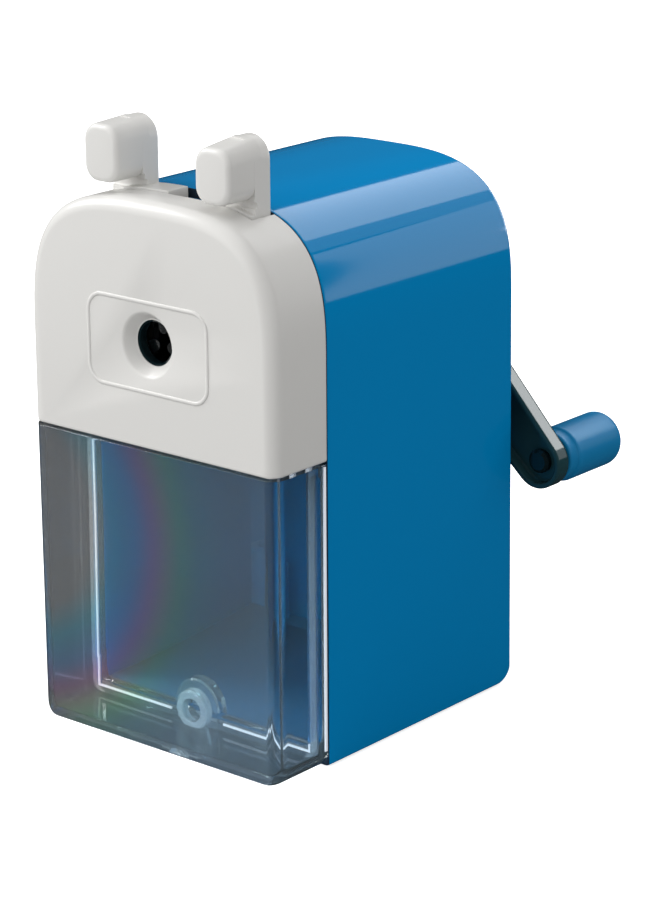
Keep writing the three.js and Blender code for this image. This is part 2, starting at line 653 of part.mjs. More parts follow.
// Assembly
addPart("case_shell", caseShell(), blue);
addPart("base_plate", basePlate(), grey);
addPart("base_mat", block(MAT_WIDTH, MAT_DEPTH, MAT_THICKNESS, 0, MAT_MIDDLE, MAT_THICKNESS / 2), rubber);
addPart("front_frame", frontFrame(), black);
addPart("ring_gear", ringGear(), brass);
addPart("rear_bush", rearBush(), black);

addPart("face_plate", facePlate(), white);
addPart("chuck_plate", chuckPlate(), steel);
addPart("lever_left", join(lever(LEVER_LEFT_X, HEAD_LEFT_Z, LEVER_RING_DEPTHS.left), slotStrip()), white);
addPart("lever_right", lever(LEVER_RIGHT_X, HEAD_RIGHT_Z, LEVER_RING_DEPTHS.right), white);

jawAngles.forEach((angle, i) => {
  addPart(`jaw_pin_${i + 1}`, pivotCylinder(PIN_RADIUS, 3.1, CHUCK_BACK, angle), steel);
  const mesh = addPart(`jaw_${i + 1}`, jaw(), steel);
  mesh.position.set(pivotX(angle), 0, pivotZ(angle));
  mesh.rotation.y = -angle;
});

for (const [side, x] of [["left", -ROD_X], ["right", ROD_X]]) {
  addPart(`guide_rod_${side}`, cylinder(ROD_RADIUS, ROD_START, ROD_END, x, AXIS_Z, 16), steel);
  addPart(`rod_bush_${side}`, tube(BUSH_OUTER, ROD_RADIUS + GAP, FRAME_FRONT, BUSH_END, x), brass);
  addPart(`rod_stop_${side}`, tube(2.9, ROD_RADIUS + GAP, STOP_FRONT, ROD_END, x, AXIS_Z, 16), black);
  addPart(`return_spring_${side}`, tube(2.6, 1.85, BUSH_END + GAP, STOP_FRONT - GAP, x, AXIS_Z, 14), steel);
}
BASE_SCREWS.forEach((x, i) => addPart(`base_screw_${i + 1}`, baseScrew(x), steel));

addPart("drawer_body", drawerBody(), smoke);

addPart("crank_shaft", crankShaft(), steel);
addPart("cutter_carrier", cutterCarrier(), grey);

const cutterAxis = new THREE.Group();
cutterAxis.position.set(0, yAt(GEAR_PLANE), AXIS_Z + CUTTER_OFFSET);
cutterAxis.rotation.x = -LEAN;
sharpener.add(cutterAxis);
const cutterPin = alongCutter(CUTTER_PIN_RADIUS, CUTTER_PIN_LENGTH).translate(0, CUTTER_PIN_MIDDLE, 0);
addPart("cutter_pin", cutterPin, steel, cutterAxis);
addPart("cutter", cutter(), steel, cutterAxis);
addPart("pinion", pinion(), brass, cutterAxis);

const crank = new THREE.Group();
crank.position.z = AXIS_Z;
crank.rotation.y = CRANK_REST_ANGLE;
sharpener.add(crank);
addPart("crank_arm", crankArm(), black, crank);
addPart("arm_screw", armScrew(), steel, crank);
addPart("knob_rivet", knobRivet(), black, crank);
addPart("knob", knob(), blue, crank);

export default sharpener;
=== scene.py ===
import math

import bmesh
import bpy
from mathutils import Matrix, Vector

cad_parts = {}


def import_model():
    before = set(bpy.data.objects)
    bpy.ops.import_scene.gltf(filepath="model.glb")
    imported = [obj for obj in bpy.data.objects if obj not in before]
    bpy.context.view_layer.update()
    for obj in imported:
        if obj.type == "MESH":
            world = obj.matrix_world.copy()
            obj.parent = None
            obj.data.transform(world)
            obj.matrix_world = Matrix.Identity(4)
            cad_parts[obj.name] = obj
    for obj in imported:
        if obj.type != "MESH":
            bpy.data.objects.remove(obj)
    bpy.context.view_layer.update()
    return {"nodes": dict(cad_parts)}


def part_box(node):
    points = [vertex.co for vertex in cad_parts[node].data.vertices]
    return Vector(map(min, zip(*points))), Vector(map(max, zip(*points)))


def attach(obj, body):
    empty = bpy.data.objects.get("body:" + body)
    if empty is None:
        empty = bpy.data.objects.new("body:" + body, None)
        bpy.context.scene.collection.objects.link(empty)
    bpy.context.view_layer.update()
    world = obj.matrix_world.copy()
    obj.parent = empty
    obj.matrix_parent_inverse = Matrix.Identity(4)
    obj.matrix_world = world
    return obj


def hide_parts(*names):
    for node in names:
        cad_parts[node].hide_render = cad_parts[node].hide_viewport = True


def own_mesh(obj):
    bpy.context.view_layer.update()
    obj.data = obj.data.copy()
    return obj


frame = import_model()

MM = 0.001
NODES = frame["nodes"]

# ---------------------------------------------------------------- dimensions, in millimetres
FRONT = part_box("drawer_body")[0].y / MM
REAR_BOSS_HEIGHT = 1.2
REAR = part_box("case_shell")[1].y / MM - REAR_BOSS_HEIGHT
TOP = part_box("case_shell")[1].z / MM
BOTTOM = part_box("case_shell")[0].z / MM
HOOD_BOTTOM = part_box("drawer_body")[0].z / MM
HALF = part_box("case_shell")[1].x / MM
PLATE_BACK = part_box("face_plate")[1].y / MM
PLATE_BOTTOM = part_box("face_plate")[0].z / MM
CASE_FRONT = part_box("case_shell")[0].y / MM
HEAD_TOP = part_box("lever_left")[1].z / MM
AXIS_Z = (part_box("ring_gear")[0].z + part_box("ring_gear")[1].z) / 2 / MM
ARCH_RISE = 29.5
SPRING_Z = TOP - ARCH_RISE
POWER = 3.14
WALL = 2.2
# How far a cutting tool reaches past what it cuts.
OVERSHOOT = 8


def depth(value):
    """The Y of a plane that lies `value` behind the front face."""
    return FRONT + value


# ---------------------------------------------------------------- mesh tools
SUPPORT = 0.3
LONG_STRETCH = 1.5


def new_object(name, mesh):
    piece = bpy.data.objects.new(name, mesh)
    bpy.context.scene.collection.objects.link(piece)
    return piece


def mesh_from(name, build):
    """A mesh made by build(bm) with coordinates in millimetres, closed and facing out."""
    bm = bmesh.new()
    build(bm)
    bmesh.ops.scale(bm, vec=(MM, MM, MM), verts=bm.verts)
    bmesh.ops.recalc_face_normals(bm, faces=bm.faces)
    mesh = bpy.data.meshes.new(name)
    bm.to_mesh(mesh)
    bm.free()
    return mesh


def loft(bm, loops, closed=False):
    """Quads between successive loops of points, with flat ends unless the loft closes on itself."""
    rings = [[bm.verts.new(point) for point in loop] for loop in loops]
    count = len(rings[0])
    pairs = list(zip(rings, rings[1:])) + ([(rings[-1], rings[0])] if closed else [])
    for first, second in pairs:
        for i in range(count):
            j = (i + 1) % count
            bm.faces.new((first[i], first[j], second[j], second[i]))
    if not closed:
        bm.faces.new(rings[0])
        bm.faces.new(rings[-1])


def between(first, second):
    """Points just inside each end of a long run, which keep the shading flat along it."""
    a, b = Vector(first), Vector(second)
    share = SUPPORT / max((b - a).length, SUPPORT)
    return tuple(a.lerp(b, share)), tuple(b.lerp(a, share))


def supported(loops, closed=False):
    """The loops of a loft, with extra ones beside each edge of a long stretch."""
    result = []
    count = len(loops)
    for i, loop in enumerate(loops):
        result.append(loop)
        following = loops[(i + 1) % count]
        if (i + 1 < count or closed) and (Vector(following[0]) - Vector(loop[0])).length > LONG_STRETCH:
            pairs = [between(a, b) for a, b in zip(loop, following)]
            result += [[near for near, _ in pairs], [far for _, far in pairs]]
    return result


def lofted(name, loops, closed=False):
    """A body lofted through loops of points, in millimetres."""
    return new_object(name, mesh_from(name, lambda bm: loft(bm, supported(loops, closed), closed)))


def turned(name, profile, centre=(0, 0), segments=64, closed=False):
    """A body turned about Y through centre (x, z), from (radius, y) pairs."""
    profile = [point[:2] for (point,) in supported([[(*pair, 0)] for pair in profile], closed)]

    def spin(bm):
        loops = []
        for step in range(segments):
            angle = 2 * math.pi * step / segments
            loops.append([
                (centre[0] + r * math.cos(angle), y, centre[1] + r * math.sin(angle)) for r, y in profile
            ])
        rings = [[bm.verts.new(p) for p in loop] for loop in loops]
        for a, b in zip(rings, rings[1:] + rings[:1]):
            for i in range(len(profile) - 1 + (1 if closed else 0)):
                j = (i + 1) % len(profile)
                bm.faces.new((a[i], a[j], b[j], b[i]))
        bmesh.ops.remove_doubles(bm, verts=bm.verts, dist=1e-4)
    return new_object(name, mesh_from(name, spin))


def plug(name, radius, start, end, centre, segments=64):
    """A plain cylinder along Y, which cuts a round hole."""
    return turned(name, [(0, start), (radius, start), (radius, end), (0, end)], centre, segments)


def arc(centre, radius, start, end, steps):
    """Points on an arc, angles in degrees."""
    points = []
    for i in range(steps + 1):
        angle = math.radians(start + (end - start) * i / steps)
        points.append((centre[0] + radius * math.cos(angle), centre[1] + radius * math.sin(angle)))
    return points


def apply_modifiers(piece):
    """Bakes the modifiers of a new piece into its mesh."""
    dg = bpy.context.evaluated_depsgraph_get()
    mesh = bpy.data.meshes.new_from_object(piece.evaluated_get(dg))
    piece.modifiers.clear()
    piece.data = mesh


def boolean(piece, tool, operation="DIFFERENCE"):
    """Cuts, joins or intersects a piece with a tool, which is then deleted."""
    modifier = piece.modifiers.new("cut", "BOOLEAN")
    modifier.operation = operation
    modifier.solver = "EXACT"
    modifier.object = tool
    bpy.context.view_layer.update()
    apply_modifiers(piece)
    bpy.data.objects.remove(tool)
    return piece


def bevel(piece, width, segments=3, angle=30):
    """Rounds the edges sharper than `angle` with a modifier, which isn't applied here."""
    modifier = piece.modifiers.new("edge", "BEVEL")
    modifier.width = width * MM
    modifier.segments = segments
    modifier.limit_method = "ANGLE"
    modifier.angle_limit = math.radians(angle)
    modifier.harden_normals = False
    modifier.miter_outer = "MITER_ARC"
    return piece


def smooth(piece, angle=35):
    """Smooth shading, with edges sharper than `angle` kept crisp."""
    mesh = piece.data
    bm = bmesh.new()
    bm.from_mesh(mesh)
    for face in bm.faces:
        face.smooth = True
    for edge in bm.edges:
        edge.smooth = len(edge.link_faces) == 2 and edge.calc_face_angle(0) < math.radians(angle)
    bm.to_mesh(mesh)
    bm.free()
    return piece


def finish_piece(piece, material, body, *replaced, slot=None, angle=35):
    """Gives a piece its material, its body and the CAD nodes it stands for. The slot is not used."""
    piece.data.materials.clear()
    piece.data.materials.append(material)
    smooth(piece, angle)
    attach(piece, body)
    if replaced:
        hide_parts(*replaced)
    return piece


def block(name, low, high):
    """A box between two corners."""
    (x0, y0, z0), (x1, y1, z1) = low, high
    bottom = [(x0, y0, z0), (x1, y0, z0), (x1, y1, z0), (x0, y1, z0)]
    return lofted(name, [bottom, [(x, y, z1) for x, y, _ in bottom]])


# ---------------------------------------------------------------- outlines in the XZ plane
def arch_outline(inset, bottom, corner=0.6, side_inset=None, steps=112):
    """The body's arch, offset inwards by `inset`, as a closed loop of (x, z)."""
    side = inset if side_inset is None else side_inset
    rise = TOP - SPRING_Z
    corner = max(corner, 0.05)
    low = arc((HALF - side - corner, bottom + corner), corner, -90, 0, 6)
    points = list(low)
    for i in range(steps + 1):
        turn = math.pi * i / steps
        c, s = math.cos(turn), math.sin(turn)
        x = math.copysign(HALF * abs(c) ** (2 / POWER), c)
        z = rise * abs(s) ** (2 / POWER)
        gx = math.copysign(abs(x / HALF) ** (POWER - 1) / HALF, x)
        gz = (z / rise) ** (POWER - 1) / rise
        size = math.hypot(gx, gz)
        points.append((x - inset * gx / size, SPRING_Z + z - inset * gz / size))
    points += [(-x, z) for x, z in reversed(low)]
    return points


def placed(outline, y):
    """An outline in the XZ plane, moved to a Y."""
    return [(x, y, z) for x, z in outline]


def rounded_rect(width, height, radius, centre=(0, 0), steps=10):
    """A rectangle with round corners, as a closed loop of (x, z)."""
    points = []
    for sx, sz, start in ((1, -1, -90), (1, 1, 0), (-1, 1, 90), (-1, -1, 180)):
        corner = (centre[0] + sx * (width / 2 - radius), centre[1] + sz * (height / 2 - radius))
        points += arc(corner, radius, start, start + 90, steps)
    return points


def fillet_steps(radius, steps=8):
    """(inset, distance from the face) pairs round a quarter circle, from the face to the side."""
    pairs = []
    for i in range(steps + 1):
        angle = math.pi / 2 * i / steps
        pairs.append((radius * (1 - math.sin(angle)), radius * (1 - math.cos(angle))))
    return pairs


# ---------------------------------------------------------------- materials
def linear(red, green, blue):
    """An sRGB colour in 0-255 steps as linear values."""
    values = [v / 255 for v in (red, green, blue)]
    return tuple(v / 12.92 if v <= 0.04045 else ((v + 0.055) / 1.055) ** 2.4 for v in values) + (1,)


def noise(tree, scale, detail=3):
    """A noise texture in the object's own metres."""
    place = tree.nodes.new("ShaderNodeTexCoord")
    texture = tree.nodes.new("ShaderNodeTexNoise")
    texture.inputs["Scale"].default_value = scale
    texture.inputs["Detail"].default_value = detail
    tree.links.new(place.outputs["Object"], texture.inputs["Vector"])
    return texture.outputs["Fac"]


def spread(tree, value, low, high):
    """Maps a 0-1 value to the range low-high."""
    node = tree.nodes.new("ShaderNodeMapRange")
    node.inputs["To Min"].default_value = low
    node.inputs["To Max"].default_value = high
    tree.links.new(value, node.inputs["Value"])
    return node.outputs["Result"]


def surface(name, color, roughness, uneven=0.03, metallic=0.0, grain=0.0, grain_scale=1500, **sockets):
    """A Principled material whose roughness and surface vary a little."""
    made = bpy.data.materials.new(name)
    made.use_nodes = True
    tree = made.node_tree
    shader = tree.nodes["Principled BSDF"]
    shader.inputs["Base Color"].default_value = color
    shader.inputs["Metallic"].default_value = metallic
    for socket, value in sockets.items():
        shader.inputs[socket.replace("_", " ")].default_value = value
    patches = noise(tree, 60)
    tree.links.new(spread(tree, patches, roughness - uneven, roughness + uneven), shader.inputs["Roughness"])
    if grain:
        bump = tree.nodes.new("ShaderNodeBump")
        bump.inputs["Strength"].default_value = grain
        bump.inputs["Distance"].default_value = 0.02 * MM
        tree.links.new(noise(tree, grain_scale, 2), bump.inputs["Height"])
        tree.links.new(bump.outputs["Normal"], shader.inputs["Normal"])
    return made


def stress_tint(tree):
    """The bands of colour that moulding stress leaves in clear styrene: rings round the gate mark."""
    place = tree.nodes.new("ShaderNodeTexCoord")
    offset = tree.nodes.new("ShaderNodeVectorMath")
    offset.operation = "SUBTRACT"
    offset.inputs[1].default_value = (STRESS_X * MM, 0, STRESS_Z * MM)
    tree.links.new(place.outputs["Object"], offset.inputs[0])
    flat = tree.nodes.new("ShaderNodeVectorMath")
    flat.operation = "MULTIPLY"
    flat.inputs[1].default_value = (1, 0, 1)
    tree.links.new(offset.outputs["Vector"], flat.inputs[0])
    distance = tree.nodes.new("ShaderNodeVectorMath")
    distance.operation = "LENGTH"
    tree.links.new(flat.outputs["Vector"], distance.inputs[0])
    share = tree.nodes.new("ShaderNodeMapRange")
    share.inputs["From Max"].default_value = STRESS_REACH * MM
    tree.links.new(distance.outputs["Value"], share.inputs["Value"])
    tint = tree.nodes.new("ShaderNodeValToRGB")
    ramp = tint.color_ramp.elements
    for element, (radius, color) in zip(ramp, STRESS_BANDS):
        element.position, element.color = radius / STRESS_REACH, (*color, 1)
    for radius, color in STRESS_BANDS[2:]:
        ramp.new(radius / STRESS_REACH).color = (*color, 1)
    tree.links.new(share.outputs["Result"], tint.inputs["Fac"])
    return tint.outputs["Color"]


def clear_plastic(name, haze, haze_depth):
    """Smoke-tinted clear styrene, with painted shade where it is seen edge on: its tint turns darker there.
    Shadow rays pass through.

    A share `haze` of it scatters light, and less of it on the right wall, which looks clearer.

    Behind the case's seam a blue diffuse is mixed in: painted light for the blue that the case round the box
    throws on it.
    """
    made = bpy.data.materials.new(name)
    made.use_nodes = True
    tree = made.node_tree
    shader = tree.nodes["Principled BSDF"]
    shader.inputs["Transmission Weight"].default_value = 1
    shader.inputs["Roughness"].default_value = 0.02
    shader.inputs["IOR"].default_value = 1.5
    facing = tree.nodes.new("ShaderNodeLayerWeight")
    edge = tree.nodes.new("ShaderNodeMath")
    edge.operation = "POWER"
    edge.inputs[1].default_value = EDGE_FALLOFF
    tree.links.new(facing.outputs["Facing"], edge.inputs[0])
    # painted shade: the tint is mixed towards a dark colour where the surface is seen edge on
    shaded = tree.nodes.new("ShaderNodeMixRGB")
    tree.links.new(edge.outputs["Value"], shaded.inputs["Fac"])
    tree.links.new(stress_tint(tree), shaded.inputs["Color1"])
    shaded.inputs["Color2"].default_value = EDGE_SHADE_COLOR
    tint = shaded.outputs["Color"]
    tree.links.new(tint, shader.inputs["Base Color"])
    deeper = tree.nodes.new("ShaderNodeGamma")
    deeper.inputs["Gamma"].default_value = haze_depth
    tree.links.new(tint, deeper.inputs["Color"])
    milk = tree.nodes.new("ShaderNodeBsdfDiffuse")
    tree.links.new(deeper.outputs["Color"], milk.inputs["Color"])
    # painted light: a blue diffuse that stands for the case's blue light on the box behind the seam
    painted_blue_bounce = tree.nodes.new("ShaderNodeBsdfDiffuse")
    painted_blue_bounce.inputs["Color"].default_value = BOX_BOUNCE_PAINT_COLOR
    boxed = mixed(tree, BOX_BOUNCE_PAINT_SHARE, shader.outputs["BSDF"], painted_blue_bounce.outputs["BSDF"])
    place = tree.nodes.new("ShaderNodeTexCoord")
    axes = tree.nodes.new("ShaderNodeSeparateXYZ")
    tree.links.new(place.outputs["Object"], axes.inputs["Vector"])
    wall = tree.nodes.new("ShaderNodeMapRange")
    wall.inputs["From Min"].default_value = (HALF - WALL_HAZE_DEPTH) * MM
    wall.inputs["From Max"].default_value = (HALF - WALL_HAZE_DEPTH + 0.2) * MM
    wall.inputs["To Min"].default_value = haze
    wall.inputs["To Max"].default_value = haze * WALL_HAZE_SHARE
    tree.links.new(axes.outputs["X"], wall.inputs["Value"])
    hazy = mixed(tree, wall.outputs["Result"], shader.outputs["BSDF"], milk.outputs["BSDF"])
    behind = tree.nodes.new("ShaderNodeMath")
    behind.operation = "GREATER_THAN"
    behind.inputs[1].default_value = CASE_FRONT * MM
    tree.links.new(axes.outputs["Y"], behind.inputs[0])
    styrene = mixed(tree, behind.outputs["Value"], hazy, boxed)
    path = tree.nodes.new("ShaderNodeLightPath")
    passing = tree.nodes.new("ShaderNodeBsdfTransparent")
    shown = mixed(tree, path.outputs["Is Shadow Ray"], styrene, passing.outputs["BSDF"])
    tree.links.new(shown, tree.nodes["Material Output"].inputs["Surface"])
    return made


def mixed(tree, share, first, second):
    """The mix of two shaders. The share is a number or a socket."""
    mix = tree.nodes.new("ShaderNodeMixShader")
    if isinstance(share, (int, float)):
        mix.inputs["Fac"].default_value = share
    else:
        tree.links.new(share, mix.inputs["Fac"])
    tree.links.new(first, mix.inputs[1])
    tree.links.new(second, mix.inputs[2])
    return mix.outputs["Shader"]


# painted light: share and colour of the blue that the case throws on the box behind its seam
BOX_BOUNCE_PAINT_SHARE = 0.2
BOX_BOUNCE_PAINT_COLOR = linear(10, 150, 210)
# painted shade of the clear plastic seen edge on: how fast it comes in, and its colour
EDGE_FALLOFF = 2.5
EDGE_SHADE_COLOR = linear(40, 55, 70)
WALL_HAZE_DEPTH = 2.5
WALL_HAZE_SHARE = 0.4
STRESS_X = -37.5
STRESS_Z = 42.8
STRESS_REACH = 60
STRESS_BANDS = (
    (21, (0.9, 0.91, 0.91)), (27, (0.7, 0.92, 0.98)), (33, (0.74, 0.86, 1.0)), (37.5, (0.92, 0.8, 0.93)),
    (41, (0.88, 0.9, 0.86)), (44.5, (0.76, 0.95, 0.85)), (49, (0.76, 0.91, 0.94)), (56, (0.78, 0.89, 0.96)),
)

blue = surface("blue_gloss", linear(2, 140, 205), 0.07, 0.01, grain=0.05, IOR=1.5)
white = surface("white_satin", linear(225, 224, 221), 0.3, 0.03, grain=0.12, IOR=1.48)
black = surface("black_gloss", linear(16, 33, 37), 0.1, 0.02, IOR=1.5)
arm_paint = surface("arm_paint", linear(34, 66, 72), 0.12, 0.02, IOR=1.5)
grey = surface("grey_plastic", linear(110, 112, 116), 0.45, 0.05, grain=0.2)
rubber = surface("mat_rubber", linear(42, 42, 42), 0.85, 0.05, grain=0.5)
steel = surface("steel", linear(180, 184, 187), 0.24, 0.06, metallic=1)
brass = surface("brass", linear(190, 158, 90), 0.28, 0.06, metallic=1)
smoke = clear_plastic("smoke_clear", 0.064, 2.2)
band_clear = clear_plastic("smoke_band", 0.13, 1)
frosted = clear_plastic("smoke_frosted", 0.24, 1)
# painted highlight: a white that glows, for edges of the clear plastic that catch light
edge_glow = surface("clear_edge_painted_glow", linear(235, 238, 244), 0.25, Emission_Strength=0.25)
edge_glow.node_tree.nodes["Principled BSDF"].inputs["Emission Color"].default_value = linear(235, 240, 250)
# painted shade: the dark colour of the strip in the seam's gap
seam_painted_shade = surface("seam_painted_shade", linear(10, 36, 56), 0.6)
knob_blue = surface("knob_blue", linear(2, 128, 184), 0.34, 0.04, grain=0.08, IOR=1.42)


# ---------------------------------------------------------------- case
REAR_BOTTOM_RADIUS = 4
REAR_EDGE = 0.6
REAR_DRAFT = 1.0
REAR_WALL = 2.5
BOSS_RADIUS = 11
BOSS_FILLET = 0.5
BOSS_SINK = 0.5
BUSH_HOLE = 6.1
POST_RADIUS = 3.2
POST_BORE = 1.5
POST_HEIGHT = 12
POST_SEGMENTS = 40
# painted shade in the seam's gap: the strip's inset, and how far it reaches in front of and behind the case's
# front
SEAM_SHADE_INSET = 0.12
SEAM_FRONT = 0.22
SEAM_BACK = 0.1
SEAM_FILLET = 0.15


def drafted(z, share):
    """How far the case's rear leans back at a height: nothing at the axis, most at the bottom."""
    return REAR_DRAFT * share * max(AXIS_Z - z, 0) / (AXIS_Z - BOTTOM)


def case_shell():
    start = REAR - REAR_BOTTOM_RADIUS
    loops = [placed(arch_outline(inset, BOTTOM), CASE_FRONT + y) for inset, y in fillet_steps(SEAM_FILLET, 3)]
    for angle in range(0, 91, 6):
        turn = math.radians(angle)
        y = start + REAR_BOTTOM_RADIUS * math.sin(turn)
        into_edge = max(y - (REAR - REAR_EDGE), 0)
        inset = REAR_EDGE - math.sqrt(max(REAR_EDGE ** 2 - into_edge ** 2, 0))
        bottom = BOTTOM + REAR_BOTTOM_RADIUS * (1 - math.cos(turn))
        share = (y - CASE_FRONT) / (REAR - CASE_FRONT)
        loops.append([(x, y + drafted(z, share), z) for x, z in arch_outline(inset, bottom)])
    shell = lofted("case_shell_skin", loops)
    cavity_ends = (CASE_FRONT - 1, REAR - REAR_WALL)
    cavity = lofted("cavity", [placed(arch_outline(WALL, BOTTOM - 4), y) for y in cavity_ends])
    boolean(shell, cavity)
    boolean(shell, plug("hole", BUSH_HOLE, REAR - OVERSHOOT, REAR + OVERSHOOT, (0, AXIS_Z)))
    finish_piece(shell, blue, "case", "case_shell", slot="blue_gloss")
    # painted shade: a dark strip set into the gap between the case and the face plate, where shade falls
    seam_shade_outline = [arch_outline(SEAM_SHADE_INSET, BOTTOM), arch_outline(WALL - 0.3, BOTTOM + WALL)]
    seam_shade_front, seam_shade_back = CASE_FRONT - SEAM_FRONT, CASE_FRONT + SEAM_BACK
    loops = [placed(seam_shade_outline[0], seam_shade_front), placed(seam_shade_outline[0], seam_shade_back)]
    loops += [placed(seam_shade_outline[1], seam_shade_back), placed(seam_shade_outline[1], seam_shade_front)]
    seam = lofted("case_seam_painted_shade", loops, closed=True)
    finish_piece(seam, seam_painted_shade, "case", slot="blue_gloss")
    boss_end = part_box("case_shell")[1].y / MM
    boss_start = REAR - BOSS_SINK
    profile = [(BUSH_HOLE, boss_start), (BOSS_RADIUS, boss_start), (BOSS_RADIUS, boss_end - BOSS_FILLET)]
    profile += arc((BOSS_RADIUS - BOSS_FILLET, boss_end - BOSS_FILLET), BOSS_FILLET, 0, 90, 4)
    profile += [(BUSH_HOLE + 0.2, boss_end), (BUSH_HOLE, boss_end - 0.2)]
    boss = turned("case_rear_boss", profile, (0, AXIS_Z), closed=True)
    finish_piece(boss, blue, "case", slot="blue_gloss")
    for side in (1, 2):
        low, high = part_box(f"base_screw_{side}")
        x, y = (low.x + high.x) / 2 / MM, (low.y + high.y) / 2 / MM
        screw_post(f"case_screw_post_{side}", x, y)


def screw_post(name, x, y):
    """A round post with a bore from below for the base screw."""
    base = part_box("base_plate")[1].z / MM + 0.3
    top = base + POST_HEIGHT
    profile = [(POST_BORE, base), (POST_RADIUS - 0.3, base), (POST_RADIUS, base + 0.3), (POST_RADIUS, top)]
    profile += [(POST_RADIUS - 0.4, top + 0.4), (POST_BORE, top + 0.4)]

    def build(bm):
        rings = []
        for step in range(POST_SEGMENTS):
            turn = 2 * math.pi * step / POST_SEGMENTS
            c, s = math.cos(turn), math.sin(turn)
            rings.append([bm.verts.new((x + r * c, y + r * s, z)) for r, z in profile])
        for a, b in zip(rings, rings[1:] + rings[:1]):
            for i in range(len(profile)):
                j = (i + 1) % len(profile)
                bm.faces.new((a[i], a[j], b[j], b[i]))

    finish_piece(new_object(name, mesh_from(name, build)), blue, "case", slot="blue_gloss")


# ---------------------------------------------------------------- face plate
PLATE_FILLET = 2.8
PLATE_WALL = 2.4
PLATE_INNER_FILLET = 1.2
PLATE_SILL = 2
RIDGE_WIDTH = 31.2
RIDGE_HEIGHT = 18.4
RIDGE_Z = AXIS_Z - 0.5
RIDGE_RADIUS = 4
RIDGE_SECTION = (
    (0, 0.1), (0, -0.04), (0.15, -0.15), (0.33, -0.2), (0.47, -0.2), (0.65, -0.15), (0.8, -0.04), (0.8, 0.1),
)
FUNNEL_RADIUS = 6.3
HOLE_RADIUS = 4.5
MOUTH_SECTION = (
    (0, -2), (FUNNEL_RADIUS + 0.6, -2), (FUNNEL_RADIUS + 0.4, 0), (FUNNEL_RADIUS + 0.05, 0.12),
    (FUNNEL_RADIUS - 0.2, 0.4), (HOLE_RADIUS + 0.25, 2.1), (HOLE_RADIUS, 2.5), (HOLE_RADIUS, 9), (0, 9),
)
CHUCK_BOSS_FRONT = 2.2
CHUCK_BOSS_BACK = 4.3
CHUCK_BOSS_RADIUS = 10.8
SLEEVE_BORE = 4.1
SLEEVE_RADIUS = 4.48
SOCKET_BORE = 1.8
SOCKET_RADIUS = 3.1
SOCKET_BACK = 8
SLOT_FRONT = 8.6
SLOT_HALF = 19.2
SLOT_BACK = 30
SLOT_BOTTOM = 104


def edge_drop(distance, radius=0.5):
    """How far a small rounded edge of `radius` lies inside its flat, `distance` past the edge."""
    if distance >= radius:
        return 0
    return radius - math.sqrt(radius ** 2 - (radius - distance) ** 2)


def face_plate():
    loops = []
    for inset, y in fillet_steps(PLATE_FILLET, 14):
        loops.append(placed(arch_outline(inset, PLATE_BOTTOM + edge_drop(y)), FRONT + y))
    for inset, y in fillet_steps(SEAM_FILLET, 3)[::-1]:
        loops.append(placed(arch_outline(inset, PLATE_BOTTOM), PLATE_BACK - y))
    plate = lofted("face_plate_shell", loops)
    cavity_loops = [
        placed(arch_outline(WALL + inset, PLATE_BOTTOM + PLATE_SILL), FRONT + PLATE_WALL + y)
        for inset, y in fillet_steps(PLATE_INNER_FILLET, 4)
    ]
    cavity_loops.append(placed(arch_outline(WALL, PLATE_BOTTOM + PLATE_SILL), PLATE_BACK + 1))
    boolean(plate, lofted("cavity", cavity_loops))
    mouth = [(radius, FRONT + y) for radius, y in MOUTH_SECTION]
    boolean(plate, turned("mouth", mouth, (0, AXIS_Z)))
    slot_low = (-SLOT_HALF, depth(SLOT_FRONT), SLOT_BOTTOM)
    boolean(plate, block("slot", slot_low, (SLOT_HALF, depth(SLOT_BACK), TOP + OVERSHOOT)))
    finish_piece(plate, white, "carriage", "face_plate", slot="white_satin")

    loops = []
    for inset, y in RIDGE_SECTION:
        width, height = RIDGE_WIDTH - 2 * inset, RIDGE_HEIGHT - 2 * inset
        outline = rounded_rect(width, height, RIDGE_RADIUS - inset, (0, RIDGE_Z), 12)
        loops.append(placed(outline, FRONT + y))
    ridge = lofted("face_plate_ridge", loops, closed=True)
    finish_piece(ridge, white, "carriage", slot="white_satin", angle=60)

    front, back = depth(CHUCK_BOSS_FRONT), depth(CHUCK_BOSS_BACK)
    bore = HOLE_RADIUS + 0.02
    profile = [(bore, front), (CHUCK_BOSS_RADIUS, front), (CHUCK_BOSS_RADIUS, back - 0.3)]
    profile += [(CHUCK_BOSS_RADIUS - 0.3, back), (bore, back)]
    boss = turned("chuck_boss", profile, (0, AXIS_Z), closed=True)
    finish_piece(boss, white, "carriage", slot="white_satin")
    profile = [(SLEEVE_BORE, depth(2.5)), (SLEEVE_RADIUS, depth(2.3))]
    profile += [(SLEEVE_RADIUS, back), (SLEEVE_BORE, back)]
    sleeve = turned("pencil_sleeve", profile, (0, AXIS_Z), closed=True)
    finish_piece(sleeve, black, "carriage", slot="black_gloss")
    end = depth(SOCKET_BACK)
    for side in ("left", "right"):
        low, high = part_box(f"guide_rod_{side}")
        centre = ((low.x + high.x) / 2 / MM, AXIS_Z)
        profile = [(SOCKET_BORE, front), (SOCKET_RADIUS, front), (SOCKET_RADIUS, end - 0.3)]
        profile += [(SOCKET_RADIUS - 0.3, end), (SOCKET_BORE, end)]
        socket = turned(f"rod_socket_{side}", profile, centre, 40, closed=True)
        finish_piece(socket, white, "carriage", slot="white_satin")


